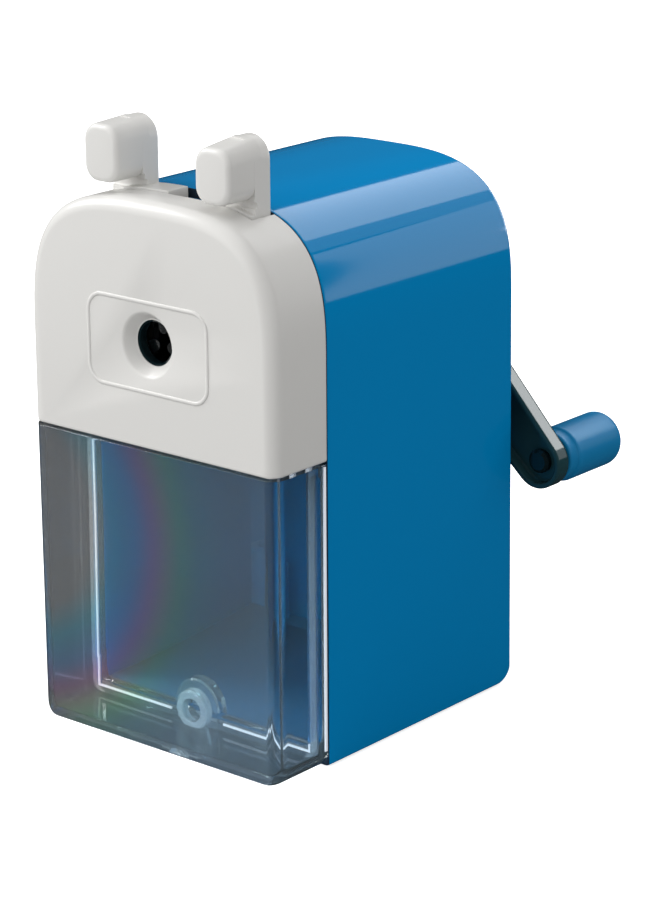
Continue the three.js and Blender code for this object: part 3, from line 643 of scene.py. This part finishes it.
# ---------------------------------------------------------------- levers
LEVER_X = {"lever_left": -13.7, "lever_right": 14.5}
LEVER_WIDTH = 8.7
HEAD_HEIGHT = {"lever_left": 11.1, "lever_right": 10.6}
HEAD_Z = {"lever_left": 117.55, "lever_right": 116.7}
CROWN_RISE = {"lever_left": 0.35, "lever_right": -0.1}
STEM_FRONT = {"lever_left": 11.2, "lever_right": 10.6}
STEM_TOP_FILLET = 0.7
STEM_FOOT_FILLET = 0.5
FOOT_RISE = {"lever_left": 0, "lever_right": 0.4}
STRIP_RISE = 0.4
HEAD_FRONT = 2.8
HEAD_RADIUS = 3.1
HEAD_LENGTH = 9.2
HEAD_ROUND = 1.1
CROWN_ROUND = 0.5
UPRIGHT_FRONT = 9
UPRIGHT_BACK = 14.6
UPRIGHT_BOTTOM = 101.5
RING_OUTER = 14.8
RING_BORE = 11.4
RING_THICKNESS = 2.1
RING_FRONT = {"lever_left": 9.3, "lever_right": 12.2}
CROWN_SLACK = 0.015
FOOT_CUT_FRONT = 5
FOOT_STEPS = 16
LEVER_ARM_AIM = 20
LEVER_ARM_START = 13.5
LEVER_ARM_END = 24.5
LEVER_ARM_HALF = 3.5
STRIP_END = -2
STRIP_BOTTOM = 106.5
STRIP_STEPS = 24


def archway_z(x, clearance):
    """The height of the body's arch above x, plus a clearance."""
    return SPRING_Z + (TOP - SPRING_Z) * (1 - abs(x / HALF) ** POWER) ** (1 / POWER) + clearance


def stem_profile(name):
    """A lever's upright seen from the side, with a neck under the head, as (depth, z)."""
    under = HEAD_Z[name] - HEAD_HEIGHT[name] / 2
    foot = archway_z(LEVER_X[name], FOOT_RISE[name])
    front = STEM_FRONT[name]
    profile = [(UPRIGHT_FRONT, UPRIGHT_BOTTOM), (UPRIGHT_FRONT, foot)]
    profile += arc((front - STEM_FOOT_FILLET, foot + STEM_FOOT_FILLET), STEM_FOOT_FILLET, -90, 0, 5)
    profile += arc((front - STEM_TOP_FILLET, under - STEM_TOP_FILLET), STEM_TOP_FILLET, 0, 90, 6)
    profile += [(front - STEM_TOP_FILLET, under + 1), (UPRIGHT_FRONT + 1, under + 1)]
    top = HEAD_TOP + 2
    return profile + [(UPRIGHT_FRONT + 1, top), (UPRIGHT_BACK, top), (UPRIGHT_BACK, UPRIGHT_BOTTOM)]


def crown_outline(name, half, inset):
    """A lever's upright seen from the front, round at the top."""
    x, bottom = LEVER_X[name], UPRIGHT_BOTTOM - 1
    top = arc((x, HEAD_TOP + CROWN_RISE[name] - half), half - inset, 0, 180, 24)
    return [(x + half - inset, bottom), *top, (x - half + inset, bottom)]


def head_loop(name, inset, y):
    """The head's outline a distance `y` behind its front. Its top rises to the upright's at the rear."""
    middle, height = HEAD_Z[name], HEAD_HEIGHT[name]
    rise = (HEAD_TOP + CROWN_RISE[name] - 0.15 - middle - height / 2) * y / HEAD_LENGTH
    size = LEVER_WIDTH - 2 * inset, height - 2 * inset
    outline = rounded_rect(*size, HEAD_RADIUS - inset * 0.6, (LEVER_X[name], middle), 10)
    raised = [(x, z + max(z - middle, 0) / (height / 2) * rise) for x, z in outline]
    return placed(raised, depth(HEAD_FRONT) + y)


def lever(name):
    x = LEVER_X[name]
    half = LEVER_WIDTH / 2
    loops = [head_loop(name, inset, y) for inset, y in fillet_steps(HEAD_ROUND, 6)]
    loops.append(head_loop(name, 0, HEAD_LENGTH))
    head = lofted(name + "_body", loops)

    profile = stem_profile(name)
    stem = lofted("stem", [[(x + s * (half + 1), depth(d), z) for d, z in profile] for s in (-1, 1)])
    half += CROWN_SLACK
    crown = crown_outline(name, half, 0)
    crown_loops = [placed(crown, depth(UPRIGHT_FRONT - 4)), placed(crown, depth(UPRIGHT_BACK - CROWN_ROUND))]
    for inset, y in fillet_steps(CROWN_ROUND, 4)[::-1][1:]:
        crown_loops.append(placed(crown_outline(name, half, inset), depth(UPRIGHT_BACK) - y))
    boolean(stem, lofted("crown", crown_loops), "INTERSECT")
    rise = FOOT_RISE[name]
    places = [x - half - 1 + (2 * half + 2) * i / FOOT_STEPS for i in range(FOOT_STEPS + 1)]
    above = [(place, archway_z(place, rise)) for place in places]
    high = max(z for _, z in above) + 0.6
    above += [(places[-1], high), (places[0], high)]
    cut_ends = (FOOT_CUT_FRONT, STEM_FRONT[name] - STEM_FOOT_FILLET)
    boolean(stem, lofted("above", [placed(above, depth(d)) for d in cut_ends]))
    boolean(head, stem, "UNION")
    finish_piece(head, white, name, name, slot="white_satin", angle=40)

    front, rear = depth(RING_FRONT[name]), depth(RING_FRONT[name] + RING_THICKNESS)
    inner, outer = RING_BORE + 0.2, RING_OUTER - 0.2
    collar = [(RING_BORE, front + 0.2), (inner, front), (outer, front), (RING_OUTER, front + 0.2)]
    collar += [(RING_OUTER, rear - 0.2), (outer, rear), (inner, rear), (RING_BORE, rear - 0.2)]
    ring = turned(name + "_ring", collar, (0, AXIS_Z), 96, closed=True)
    finish_piece(ring, white, name, slot="white_satin")
    angle = math.atan2(x, LEVER_ARM_AIM)
    along, across = (math.sin(angle), math.cos(angle)), (math.cos(angle), -math.sin(angle))
    corners = []
    start, end, side = LEVER_ARM_START, LEVER_ARM_END, LEVER_ARM_HALF
    for radius, shift in ((start, side), (end, side), (end, -side), (start, -side)):
        corner_x = radius * along[0] + shift * across[0]
        corner_z = AXIS_Z + radius * along[1] + shift * across[1]
        corners.append((corner_x, corner_z))
    arm = lofted(name + "_arm", [placed(corners, front + 0.01), placed(corners, rear - 0.01)])
    bevel(arm, 0.3, 2)
    apply_modifiers(arm)
    finish_piece(arm, white, name, slot="white_satin")


def slot_strip():
    """The strip beside the left lever that closes the slot at rest, a little proud of the arch."""
    left, right, low = LEVER_X["lever_left"], STRIP_END, STRIP_BOTTOM
    places = [left + (right - left) * i / STRIP_STEPS for i in range(STRIP_STEPS + 1)]
    top = [(x, archway_z(x, STRIP_RISE)) for x in places]
    outline = [(right, low), *top[::-1], (left, low)]
    strip = lofted("slot_strip", [placed(outline, depth(d)) for d in (UPRIGHT_FRONT, UPRIGHT_BACK)])
    bevel(strip, 0.2, 2)
    apply_modifiers(strip)
    finish_piece(strip, white, "lever_left", slot="white_satin")


# ---------------------------------------------------------------- drawer
HOOD_BACK = 15.1
HOOD_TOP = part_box("drawer_body")[1].z / MM
HOOD_CORNER = 3.8
HOOD_WALL = 2
HOOD_FILLET = 2.8
HOOD_BACK_FILLET = 0.3
BOTTOM_FILLET_SHARE = 0.35
LIP_HALF = 27.4
LIP_BOTTOM = 3.6
LIP_WIDTH = 0.42
LIP_GAP = 7
LIP_RETURN = 1.5
BAND_WIDTH = 1.7
BAND_BOTTOM = 2.15
BAND_CORNER = 3
BAND_INNER_CORNER = 0.6
RIM_WIDTH = 0.55
RIM_FRONT = 0.95
RIM_BACK = 0.35
FLANGE_FRONT = 13.1
BOX_HALF = 28
BOX_WALL = 1.1
BOX_BOTTOM = 3.7
BOX_TOP = 59
BOX_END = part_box("drawer_body")[1].y / MM
BOX_CORNER = 4
BOX_INNER_CORNER = 0.4
BOX_END_FILLET = 1.5
PEG_Z = 5.4
PEG_FRONT = 11.2
PEG_RADIUS = 4.1
PEG_RING_PROUD = 0.2
PEG_BORE = 2.4
PEG_BORE_FRONT = 6
PEG_BORE_BACK = 14.3
PEG_TRIM = 10
COLLAR_FRONT = 12.7
COLLAR_RADIUS = 6


def hood_outline(inset, bottom_inset, top):
    """The hood seen from the front: rounded below, straight-sided above."""
    radius = HOOD_CORNER - inset
    bottom = HOOD_BOTTOM + bottom_inset
    half = HALF - inset
    right = arc((half - radius, bottom + radius), radius, -90, 0, 14) + [(half, top)]
    return right + [(-x, z) for x, z in reversed(right)]


def box_outline(inset, top, corner):
    """The box behind the hood, seen from the front."""
    side, bottom = BOX_HALF - inset, BOX_BOTTOM + inset
    right = arc((side - corner, bottom + corner), corner, -90, 0, 8) + [(side, top)]
    return right + [(-x, z) for x, z in reversed(right)]


def drawer():
    loops = []
    for inset, y in fillet_steps(HOOD_FILLET, 12):
        below = inset * BOTTOM_FILLET_SHARE
        loops.append(placed(hood_outline(inset, below, HOOD_TOP - edge_drop(y, 0.4)), FRONT + y))
    for inset, y in fillet_steps(HOOD_BACK_FILLET, 3)[::-1]:
        loops.append(placed(hood_outline(inset, inset, HOOD_TOP), depth(HOOD_BACK) - y))
    hood = lofted("drawer_hood", loops)
    inner_fillet = HOOD_FILLET - HOOD_WALL
    cavity = []
    for inset, y in fillet_steps(inner_fillet, 8):
        below = HOOD_WALL + inset * BOTTOM_FILLET_SHARE
        cavity.append(placed(hood_outline(HOOD_WALL + inset, below, HOOD_TOP + 5), depth(HOOD_WALL) + y))
    cavity.append(placed(hood_outline(HOOD_WALL, HOOD_WALL, HOOD_TOP + 5), depth(FLANGE_FRONT)))
    boolean(hood, lofted("cavity", cavity))
    box_ends = [placed(box_outline(0, BOX_TOP, BOX_CORNER), depth(FLANGE_FRONT) + 0.5)]
    for inset, y in fillet_steps(BOX_END_FILLET, 5)[::-1]:
        box_ends.append(placed(box_outline(inset, BOX_TOP, BOX_CORNER), BOX_END - y))
    boolean(hood, lofted("box", box_ends), "UNION")
    inside = box_outline(BOX_WALL, BOX_TOP + OVERSHOOT, BOX_INNER_CORNER)
    inside_ends = [placed(inside, y) for y in (depth(FLANGE_FRONT) - 1, BOX_END - BOX_WALL)]
    boolean(hood, lofted("inside", inside_ends))
    tip, collar, foot = depth(PEG_FRONT), depth(COLLAR_FRONT), depth(HOOD_BACK)
    peg_profile = [(0, tip), (PEG_RADIUS - 0.4, tip), (PEG_RADIUS, tip + 0.4), (PEG_RADIUS + 0.1, collar)]
    peg_profile += [(COLLAR_RADIUS - 0.3, collar), (COLLAR_RADIUS, collar + 0.3)]
    peg_profile += [(COLLAR_RADIUS, foot), (0, foot)]
    peg = turned("peg", peg_profile, (0, PEG_Z), 48)
    boolean(peg, block("under", (-PEG_TRIM, depth(5), -5), (PEG_TRIM, depth(20), HOOD_BOTTOM + 0.2)))
    boolean(hood, peg, "UNION")
    boolean(hood, plug("bore", PEG_BORE, depth(PEG_BORE_FRONT), depth(PEG_BORE_BACK), (0, PEG_Z), 40))
    finish_piece(hood, smoke, "drawer", "drawer_body", slot="smoke_clear", angle=40)

    # painted highlight: glowing strips round the drawer's opening
    lip("drawer_edge_left", [(-LIP_HALF, BOX_TOP), (-LIP_HALF, LIP_BOTTOM), (-LIP_GAP, LIP_BOTTOM)])
    right_end = (LIP_HALF, LIP_BOTTOM + LIP_RETURN)
    lip("drawer_edge_right", [(LIP_GAP, LIP_BOTTOM), (LIP_HALF, LIP_BOTTOM), right_end])

    front = depth(PEG_FRONT) - PEG_RING_PROUD
    profile = [(PEG_BORE, front + 0.15), (PEG_BORE + 0.2, front), (PEG_RADIUS - 0.35, front)]
    profile += [(PEG_RADIUS, front + 0.3), (PEG_RADIUS + 0.1, collar), (PEG_BORE, collar)]
    ring = turned("drawer_peg_ring", profile, (0, PEG_Z), 64, closed=True)
    finish_piece(ring, frosted, "drawer", slot="smoke_clear")

    flange_y = (depth(FLANGE_FRONT) - 0.3, depth(FLANGE_FRONT) - 0.02)
    band_half = LIP_HALF + BAND_WIDTH
    outer_edge = arc((band_half - BAND_CORNER, BAND_BOTTOM + BAND_CORNER), BAND_CORNER, -90, 0, 14)
    outer_edge += [(band_half, HOOD_TOP - 1)]
    step = BAND_INNER_CORNER / 2
    inner_edge = arc((LIP_HALF - step, LIP_BOTTOM + step), BAND_INNER_CORNER, -90, 0, 14)
    inner_edge += [(LIP_HALF + step, HOOD_TOP - 1)]
    whole_outer = outer_edge + [(-x, z) for x, z in reversed(outer_edge)]
    whole_inner = inner_edge + [(-x, z) for x, z in reversed(inner_edge)]
    band = whole_outer + whole_inner[::-1]
    face = lofted("drawer_flange_face", [placed(band, y) for y in flange_y])
    finish_piece(face, band_clear, "drawer", slot="smoke_clear")

    # painted highlight: a glowing strip along the hood's right rear edge
    rim_y, rim_z = depth(HOOD_BACK), HOOD_BOTTOM + HOOD_CORNER
    rim_low = (HALF - RIM_WIDTH, rim_y - RIM_FRONT, rim_z)
    rim = block("drawer_rim", rim_low, (HALF + 0.02, rim_y - RIM_BACK, HOOD_TOP - 0.3))
    finish_piece(rim, edge_glow, "drawer", slot="smoke_clear")


def lip(name, path):
    """The moulded edge round the drawer's opening, bright with a painted glow: a thin strip along a path in
    XZ.
    """
    thick = LIP_WIDTH / 2
    y0, y1 = depth(FLANGE_FRONT) - 0.32, depth(FLANGE_FRONT) - 0.04
    points = []
    for i, (x, z) in enumerate(path):
        before = Vector(path[max(i - 1, 0)])
        after = Vector(path[min(i + 1, len(path) - 1)])
        here = Vector((x, z))
        first = (here - before).normalized() if i else (after - here).normalized()
        second = (after - here).normalized() if i < len(path) - 1 else first
        mean = (first + second).normalized()
        normal = Vector((-mean.y, mean.x)) / max(mean.dot(first), 0.5)
        points.append((here, normal))
    outline = [here + normal * thick for here, normal in points]
    outline += [here - normal * thick for here, normal in points[::-1]]
    strip = lofted(name, [[(p.x, y, p.y) for p in outline] for y in (y0, y1)])
    finish_piece(strip, edge_glow, "drawer", slot="smoke_clear")


# ---------------------------------------------------------------- crank and knob
KNOB_LOW, KNOB_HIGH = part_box("knob")
KNOB_X = (KNOB_LOW.x + KNOB_HIGH.x) / 2 / MM
KNOB_Z = (KNOB_LOW.z + KNOB_HIGH.z) / 2 / MM
CRANK_RADIUS = math.hypot(KNOB_X, AXIS_Z - KNOB_Z)
CRANK_ANGLE = math.atan2(AXIS_Z - KNOB_Z, KNOB_X)
ARM_FRONT = 76.6
ARM_THICKNESS = 3.9
ARM_HUB_RADIUS = 8
ARM_END_RADIUS = 5.6
ARM_RECESS = 2
ARM_RIM = 1.1
ARM_RECESS_STEPS = ((-0.25, 0), (0, 0.25), (0.15, ARM_RECESS - 0.35), (0.5, ARM_RECESS))
HUB_FRONT = 75
HUB_BORE = 3.3
HUB_RADIUS = 7.2
HUB_END_RADIUS = 5.9
RIVET_SECTION = ((0, -1.15), (1.4, -1.1), (2.1, -0.9), (2.4, -0.55), (2.5, 0.2), (0, 0.2))
KNOB_BORE = 1.9
KNOB_CAP = 6
KNOB_COLLAR_STEP = 0.55
KNOB_COLLAR_EDGE = 0.5
KNOB_SHOULDER = 0.7
KNOB_ROUND = 2.2


def link_outline(inset, r0=ARM_HUB_RADIUS, r1=ARM_END_RADIUS):
    """A link with round ends at the crank axis and the knob, as (along, up) in the arm's own frame."""
    lean = math.degrees(math.asin((r0 - r1) / CRANK_RADIUS))
    end = arc((CRANK_RADIUS, 0), r1 - inset, lean - 90, 90 - lean, 56)
    return end + arc((0, 0), r0 - inset, 90 - lean, 270 + lean, 56)


def on_arm(piece):
    """Turns a piece made in the arm's frame to the crank's rest angle, about the crank axis."""
    turn = Matrix.Rotation(CRANK_ANGLE, 4, "Y")
    piece.data.transform(Matrix.Translation((0, 0, AXIS_Z * MM)) @ turn)
    return piece


def crank():
    back = depth(ARM_FRONT + ARM_THICKNESS)
    front = depth(ARM_FRONT)
    loops = [placed(link_outline(inset), back - y) for inset, y in fillet_steps(0.5, 4)]
    loops += [placed(link_outline(inset), front + y) for inset, y in fillet_steps(0.35, 4)[::-1]]
    loops += [placed(link_outline(ARM_RIM + inset), front + y) for inset, y in ARM_RECESS_STEPS]
    arm = on_arm(lofted("crank_arm_skin", loops))
    finish_piece(arm, arm_paint, "crank", "crank_arm", slot="black_gloss")

    hub_front, hub_end = depth(HUB_FRONT), front + 1.9
    profile = [(HUB_BORE, hub_front), (HUB_RADIUS - 0.4, hub_front), (HUB_RADIUS, hub_front + 0.4)]
    profile += [(HUB_RADIUS, front + 0.2), (HUB_END_RADIUS, hub_end), (HUB_BORE, hub_end)]
    hub = turned("crank_hub", profile, (0, AXIS_Z), closed=True)
    finish_piece(hub, arm_paint, "crank", slot="black_gloss")

    floor = front + ARM_RECESS
    head = [(radius, floor + y) for radius, y in RIVET_SECTION]
    rivet = turned("knob_rivet_head", head, (KNOB_X, KNOB_Z), 48)
    finish_piece(rivet, black, "crank", slot="black_gloss")


def knob():
    start, end = KNOB_LOW.y / MM, KNOB_HIGH.y / MM
    radius = (KNOB_HIGH.x - KNOB_LOW.x) / 2 / MM
    collar = radius - KNOB_COLLAR_STEP
    bore_end = [(0, end - KNOB_CAP), (KNOB_BORE, end - KNOB_CAP)]
    profile = [(KNOB_BORE, start + 0.3), (KNOB_BORE + 0.3, start), (collar - KNOB_COLLAR_EDGE, start)]
    profile += arc((collar - KNOB_COLLAR_EDGE, start + KNOB_COLLAR_EDGE), KNOB_COLLAR_EDGE, -90, 0, 4)
    profile += [(collar, start + 1.9), (collar + 0.15, start + 2.2)]
    profile += arc((radius - KNOB_SHOULDER, start + 2.9), KNOB_SHOULDER, -60, 0, 4)
    profile += arc((radius - KNOB_ROUND, end - KNOB_ROUND), KNOB_ROUND, 0, 90, 12)
    profile += [(0, end)]
    body = turned("knob_grip", bore_end + profile, (KNOB_X, KNOB_Z), 72)
    finish_piece(body, knob_blue, "knob", "knob", slot="blue_gloss")


# ---------------------------------------------------------------- return springs
SPRING_TURNS = 22
SPRING_WIRE = 0.3
SPRING_STEPS = 28
SPRING_SIDES = 8


def return_spring(side):
    node = f"return_spring_{side}"
    low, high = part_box(node)
    centre = ((low.x + high.x) / 2 / MM, (low.z + high.z) / 2 / MM)
    radius = (high.x - low.x) / 2 / MM - SPRING_WIRE - 0.05
    y0, y1 = low.y / MM + SPRING_WIRE, high.y / MM - SPRING_WIRE

    def build(bm):
        rings = []
        total = SPRING_TURNS * SPRING_STEPS
        for i in range(total + 1):
            turn = 2 * math.pi * i / SPRING_STEPS
            y = y0 + (y1 - y0) * i / total
            ring = []
            for k in range(SPRING_SIDES):
                wire = 2 * math.pi * k / SPRING_SIDES
                r = radius + SPRING_WIRE * math.cos(wire)
                x, z = centre[0] + r * math.cos(turn), centre[1] + r * math.sin(turn)
                ring.append((x, y + SPRING_WIRE * math.sin(wire), z))
            rings.append(ring)
        loft(bm, rings)

    coil = new_object(node + "_coil", mesh_from(node, build))
    finish_piece(coil, steel, "case", node, slot="steel")
    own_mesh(coil)


# ---------------------------------------------------------------- CAD nodes that stay
def carried_over():
    groups = {
        "steel": (steel, (
            "base_screw_1", "base_screw_2", "chuck_plate", "jaw_pin_1", "jaw_pin_2", "jaw_pin_3",
            "guide_rod_left", "guide_rod_right", "jaw_1", "jaw_2", "jaw_3", "crank_shaft",
            "cutter_pin", "arm_screw", "cutter",
        )),
        "brass": (brass, ("ring_gear", "rod_bush_left", "rod_bush_right", "pinion")),
        "black": (black, ("front_frame", "rear_bush", "rod_stop_left", "rod_stop_right", "knob_rivet")),
        "grey": (grey, ("base_plate", "cutter_carrier")),
        "rubber": (rubber, ("base_mat",)),
    }
    edges = {
        "jaw_1": 0.25, "jaw_2": 0.25, "jaw_3": 0.25, "chuck_plate": 0.2, "base_plate": 0.4, "base_mat": 0.3,
        "cutter_carrier": 0.3, "front_frame": 0.2, "arm_screw": 0.2, "rear_bush": 0.2, "crank_shaft": 0.2,
    }
    for material, names in groups.values():
        for name in names:
            node = NODES[name]
            node.data.materials.clear()
            node.data.materials.append(material)
            if name in edges:
                bevel(node, edges[name], 2, 40)


case_shell()
face_plate()
lever("lever_left")
lever("lever_right")
slot_strip()
drawer()
crank()
knob()
for side in ("left", "right"):
    return_spring(side)
carried_over()


# ---------------------------------------------------------------- stage, light and camera
AMBIENT = 0.42
FLOOR_GLOW = 0.75
FLOOR_REACH = 4
SHADES = {"ambient": AMBIENT, "seen": 1.05, "mirrored": 0.03, "through": 0.15}


def card(name, corners, strength, diffuse=True):
    """A glowing card that stands for a softbox. The camera doesn't see it."""
    mesh = bpy.data.meshes.new(name)
    mesh.from_pydata([Vector(c) * MM for c in corners], [], [tuple(range(len(corners)))])
    piece = new_object(name, mesh)
    glow = bpy.data.materials.new(name)
    glow.use_nodes = True
    tree = glow.node_tree
    tree.nodes.clear()
    out = tree.nodes.new("ShaderNodeOutputMaterial")
    emit = tree.nodes.new("ShaderNodeEmission")
    emit.inputs["Strength"].default_value = strength
    tree.links.new(emit.outputs["Emission"], out.inputs["Surface"])
    mesh.materials.append(glow)
    piece.visible_camera = False
    piece.visible_shadow = False
    piece.visible_diffuse = diffuse
    return piece


def area_light(name, place, target, size, power, color=(1, 1, 1), glossy=True):
    lamp = bpy.data.lights.new(name, "AREA")
    lamp.shape = "RECTANGLE"
    lamp.size, lamp.size_y = size
    lamp.energy = power
    lamp.color = color
    piece = new_object(name, lamp)
    piece.location = place
    piece.rotation_euler = (Vector(target) - Vector(place)).to_track_quat("-Z", "Y").to_euler()
    piece.visible_camera = False
    piece.visible_glossy = glossy
    return piece


def stage():
    mesh = bpy.data.meshes.new("floor")
    corners = [(x * FLOOR_REACH, y * FLOOR_REACH, 0) for x, y in ((-1, -1), (1, -1), (1, 1), (-1, 1))]
    mesh.from_pydata(corners, [], [(0, 1, 2, 3)])
    floor = new_object("floor", mesh)
    pale = bpy.data.materials.new("pale_floor")
    pale.use_nodes = True
    tree = pale.node_tree
    shader = tree.nodes["Principled BSDF"]
    shader.inputs["Base Color"].default_value = (0.9, 0.9, 0.9, 1)
    shader.inputs["Roughness"].default_value = 0.9
    shader.inputs["Specular IOR Level"].default_value = 0
    shader.inputs["Emission Color"].default_value = (1, 1, 1, 1)
    shader.inputs["Emission Strength"].default_value = FLOOR_GLOW
    dim = tree.nodes.new("ShaderNodeBsdfDiffuse")
    dim.inputs["Color"].default_value = (0.3, 0.3, 0.3, 1)
    path = tree.nodes.new("ShaderNodeLightPath")
    mirrored = tree.nodes.new("ShaderNodeBsdfDiffuse")
    mirrored.inputs["Color"].default_value = (0.02, 0.02, 0.02, 1)
    lit = mixed(tree, path.outputs["Is Glossy Ray"], dim.outputs["BSDF"], mirrored.outputs["BSDF"])
    shown = mixed(tree, path.outputs["Is Camera Ray"], lit, shader.outputs["BSDF"])
    tree.links.new(shown, tree.nodes["Material Output"].inputs["Surface"])
    mesh.materials.append(pale)


def world():
    made = bpy.data.worlds.new("studio")
    bpy.context.scene.world = made
    made.use_nodes = True
    tree = made.node_tree
    tree.nodes.clear()
    out = tree.nodes.new("ShaderNodeOutputWorld")
    path = tree.nodes.new("ShaderNodeLightPath")
    shades = {}
    for name, strength in SHADES.items():
        shade = tree.nodes.new("ShaderNodeBackground")
        shade.inputs["Color"].default_value = (1, 1, 1, 1)
        shade.inputs["Strength"].default_value = strength
        shades[name] = shade.outputs["Background"]
    glossy = mixed(tree, path.outputs["Is Glossy Ray"], shades["ambient"], shades["mirrored"])
    through = mixed(tree, path.outputs["Is Transmission Ray"], glossy, shades["through"])
    seen = mixed(tree, path.outputs["Is Camera Ray"], through, shades["seen"])
    tree.links.new(seen, out.inputs["Surface"])


def lights():
    shoulder = [(-180, 250, 400), (150, 250, 400), (150, 560, 400), (-180, 560, 400)]
    card("shoulder_card", shoulder, 2.3)
    side = [(242, 500, 372), (380, 500, 453), (527, 500, 70), (372, 500, 64)]
    card("side_card", side, 1.2)
    beside_arm = [(31.3, 142.7, 149), (47, 125.3, 164.4), (101.2, 126.9, 111.2), (85.5, 144.3, 95.8)]
    card("arm_card", beside_arm, 7, diffuse=False)
    card("between_card", [(150, 250, 400), (285, 250, 400), (285, 560, 400), (150, 560, 400)], 0.5)
    area_light("front_fill", (-0.35, -1.1, 0.35), (0, 0, 0.06), (0.9, 0.9), 7.5, glossy=False)
    area_light("side_fill", (1.15, -0.1, 0.3), (0, 0, 0.06), (0.9, 0.9), 3, glossy=False)
    area_light("top_fill", (0.0, 0.1, 1.2), (0, 0, 0.05), (0.9, 0.9), 2, glossy=False)
    area_light("rim_card", (-0.9, -0.35, 0.75), (0, 0, 0.1), (0.5, 0.5), 8)


CAMERA_PLACE = Vector((0.38277, -0.4406, 0.2355))
CAMERA_AZIMUTH = math.radians(39.9076)
CAMERA_ELEVATION = math.radians(17.333)
CAMERA_ROLL = math.radians(-0.338)
SENSOR_WIDTH = 36
FOCAL_LENGTH = 122.07


def camera():
    """The photograph's camera: its place, the way back from its target, and a slight roll."""
    lens = bpy.data.cameras.new("camera")
    lens.sensor_width = SENSOR_WIDTH
    lens.lens = FOCAL_LENGTH
    lens.clip_start, lens.clip_end = 0.01, 20
    piece = new_object("camera", lens)
    away = Vector((
        math.sin(CAMERA_AZIMUTH) * math.cos(CAMERA_ELEVATION),
        -math.cos(CAMERA_AZIMUTH) * math.cos(CAMERA_ELEVATION),
        math.sin(CAMERA_ELEVATION),
    ))
    right = Vector((0, 0, 1)).cross(away).normalized()
    up = away.cross(right)
    turned_right = right * math.cos(CAMERA_ROLL) + up * math.sin(CAMERA_ROLL)
    turned_up = up * math.cos(CAMERA_ROLL) - right * math.sin(CAMERA_ROLL)
    axes = Matrix((turned_right, turned_up, away)).transposed().to_4x4()
    piece.matrix_world = Matrix.Translation(CAMERA_PLACE) @ axes
    bpy.context.scene.camera = piece


stage()
world()
lights()
camera()
bpy.context.scene.view_settings.view_transform = "Standard"
bpy.context.scene.view_settings.look = "None"
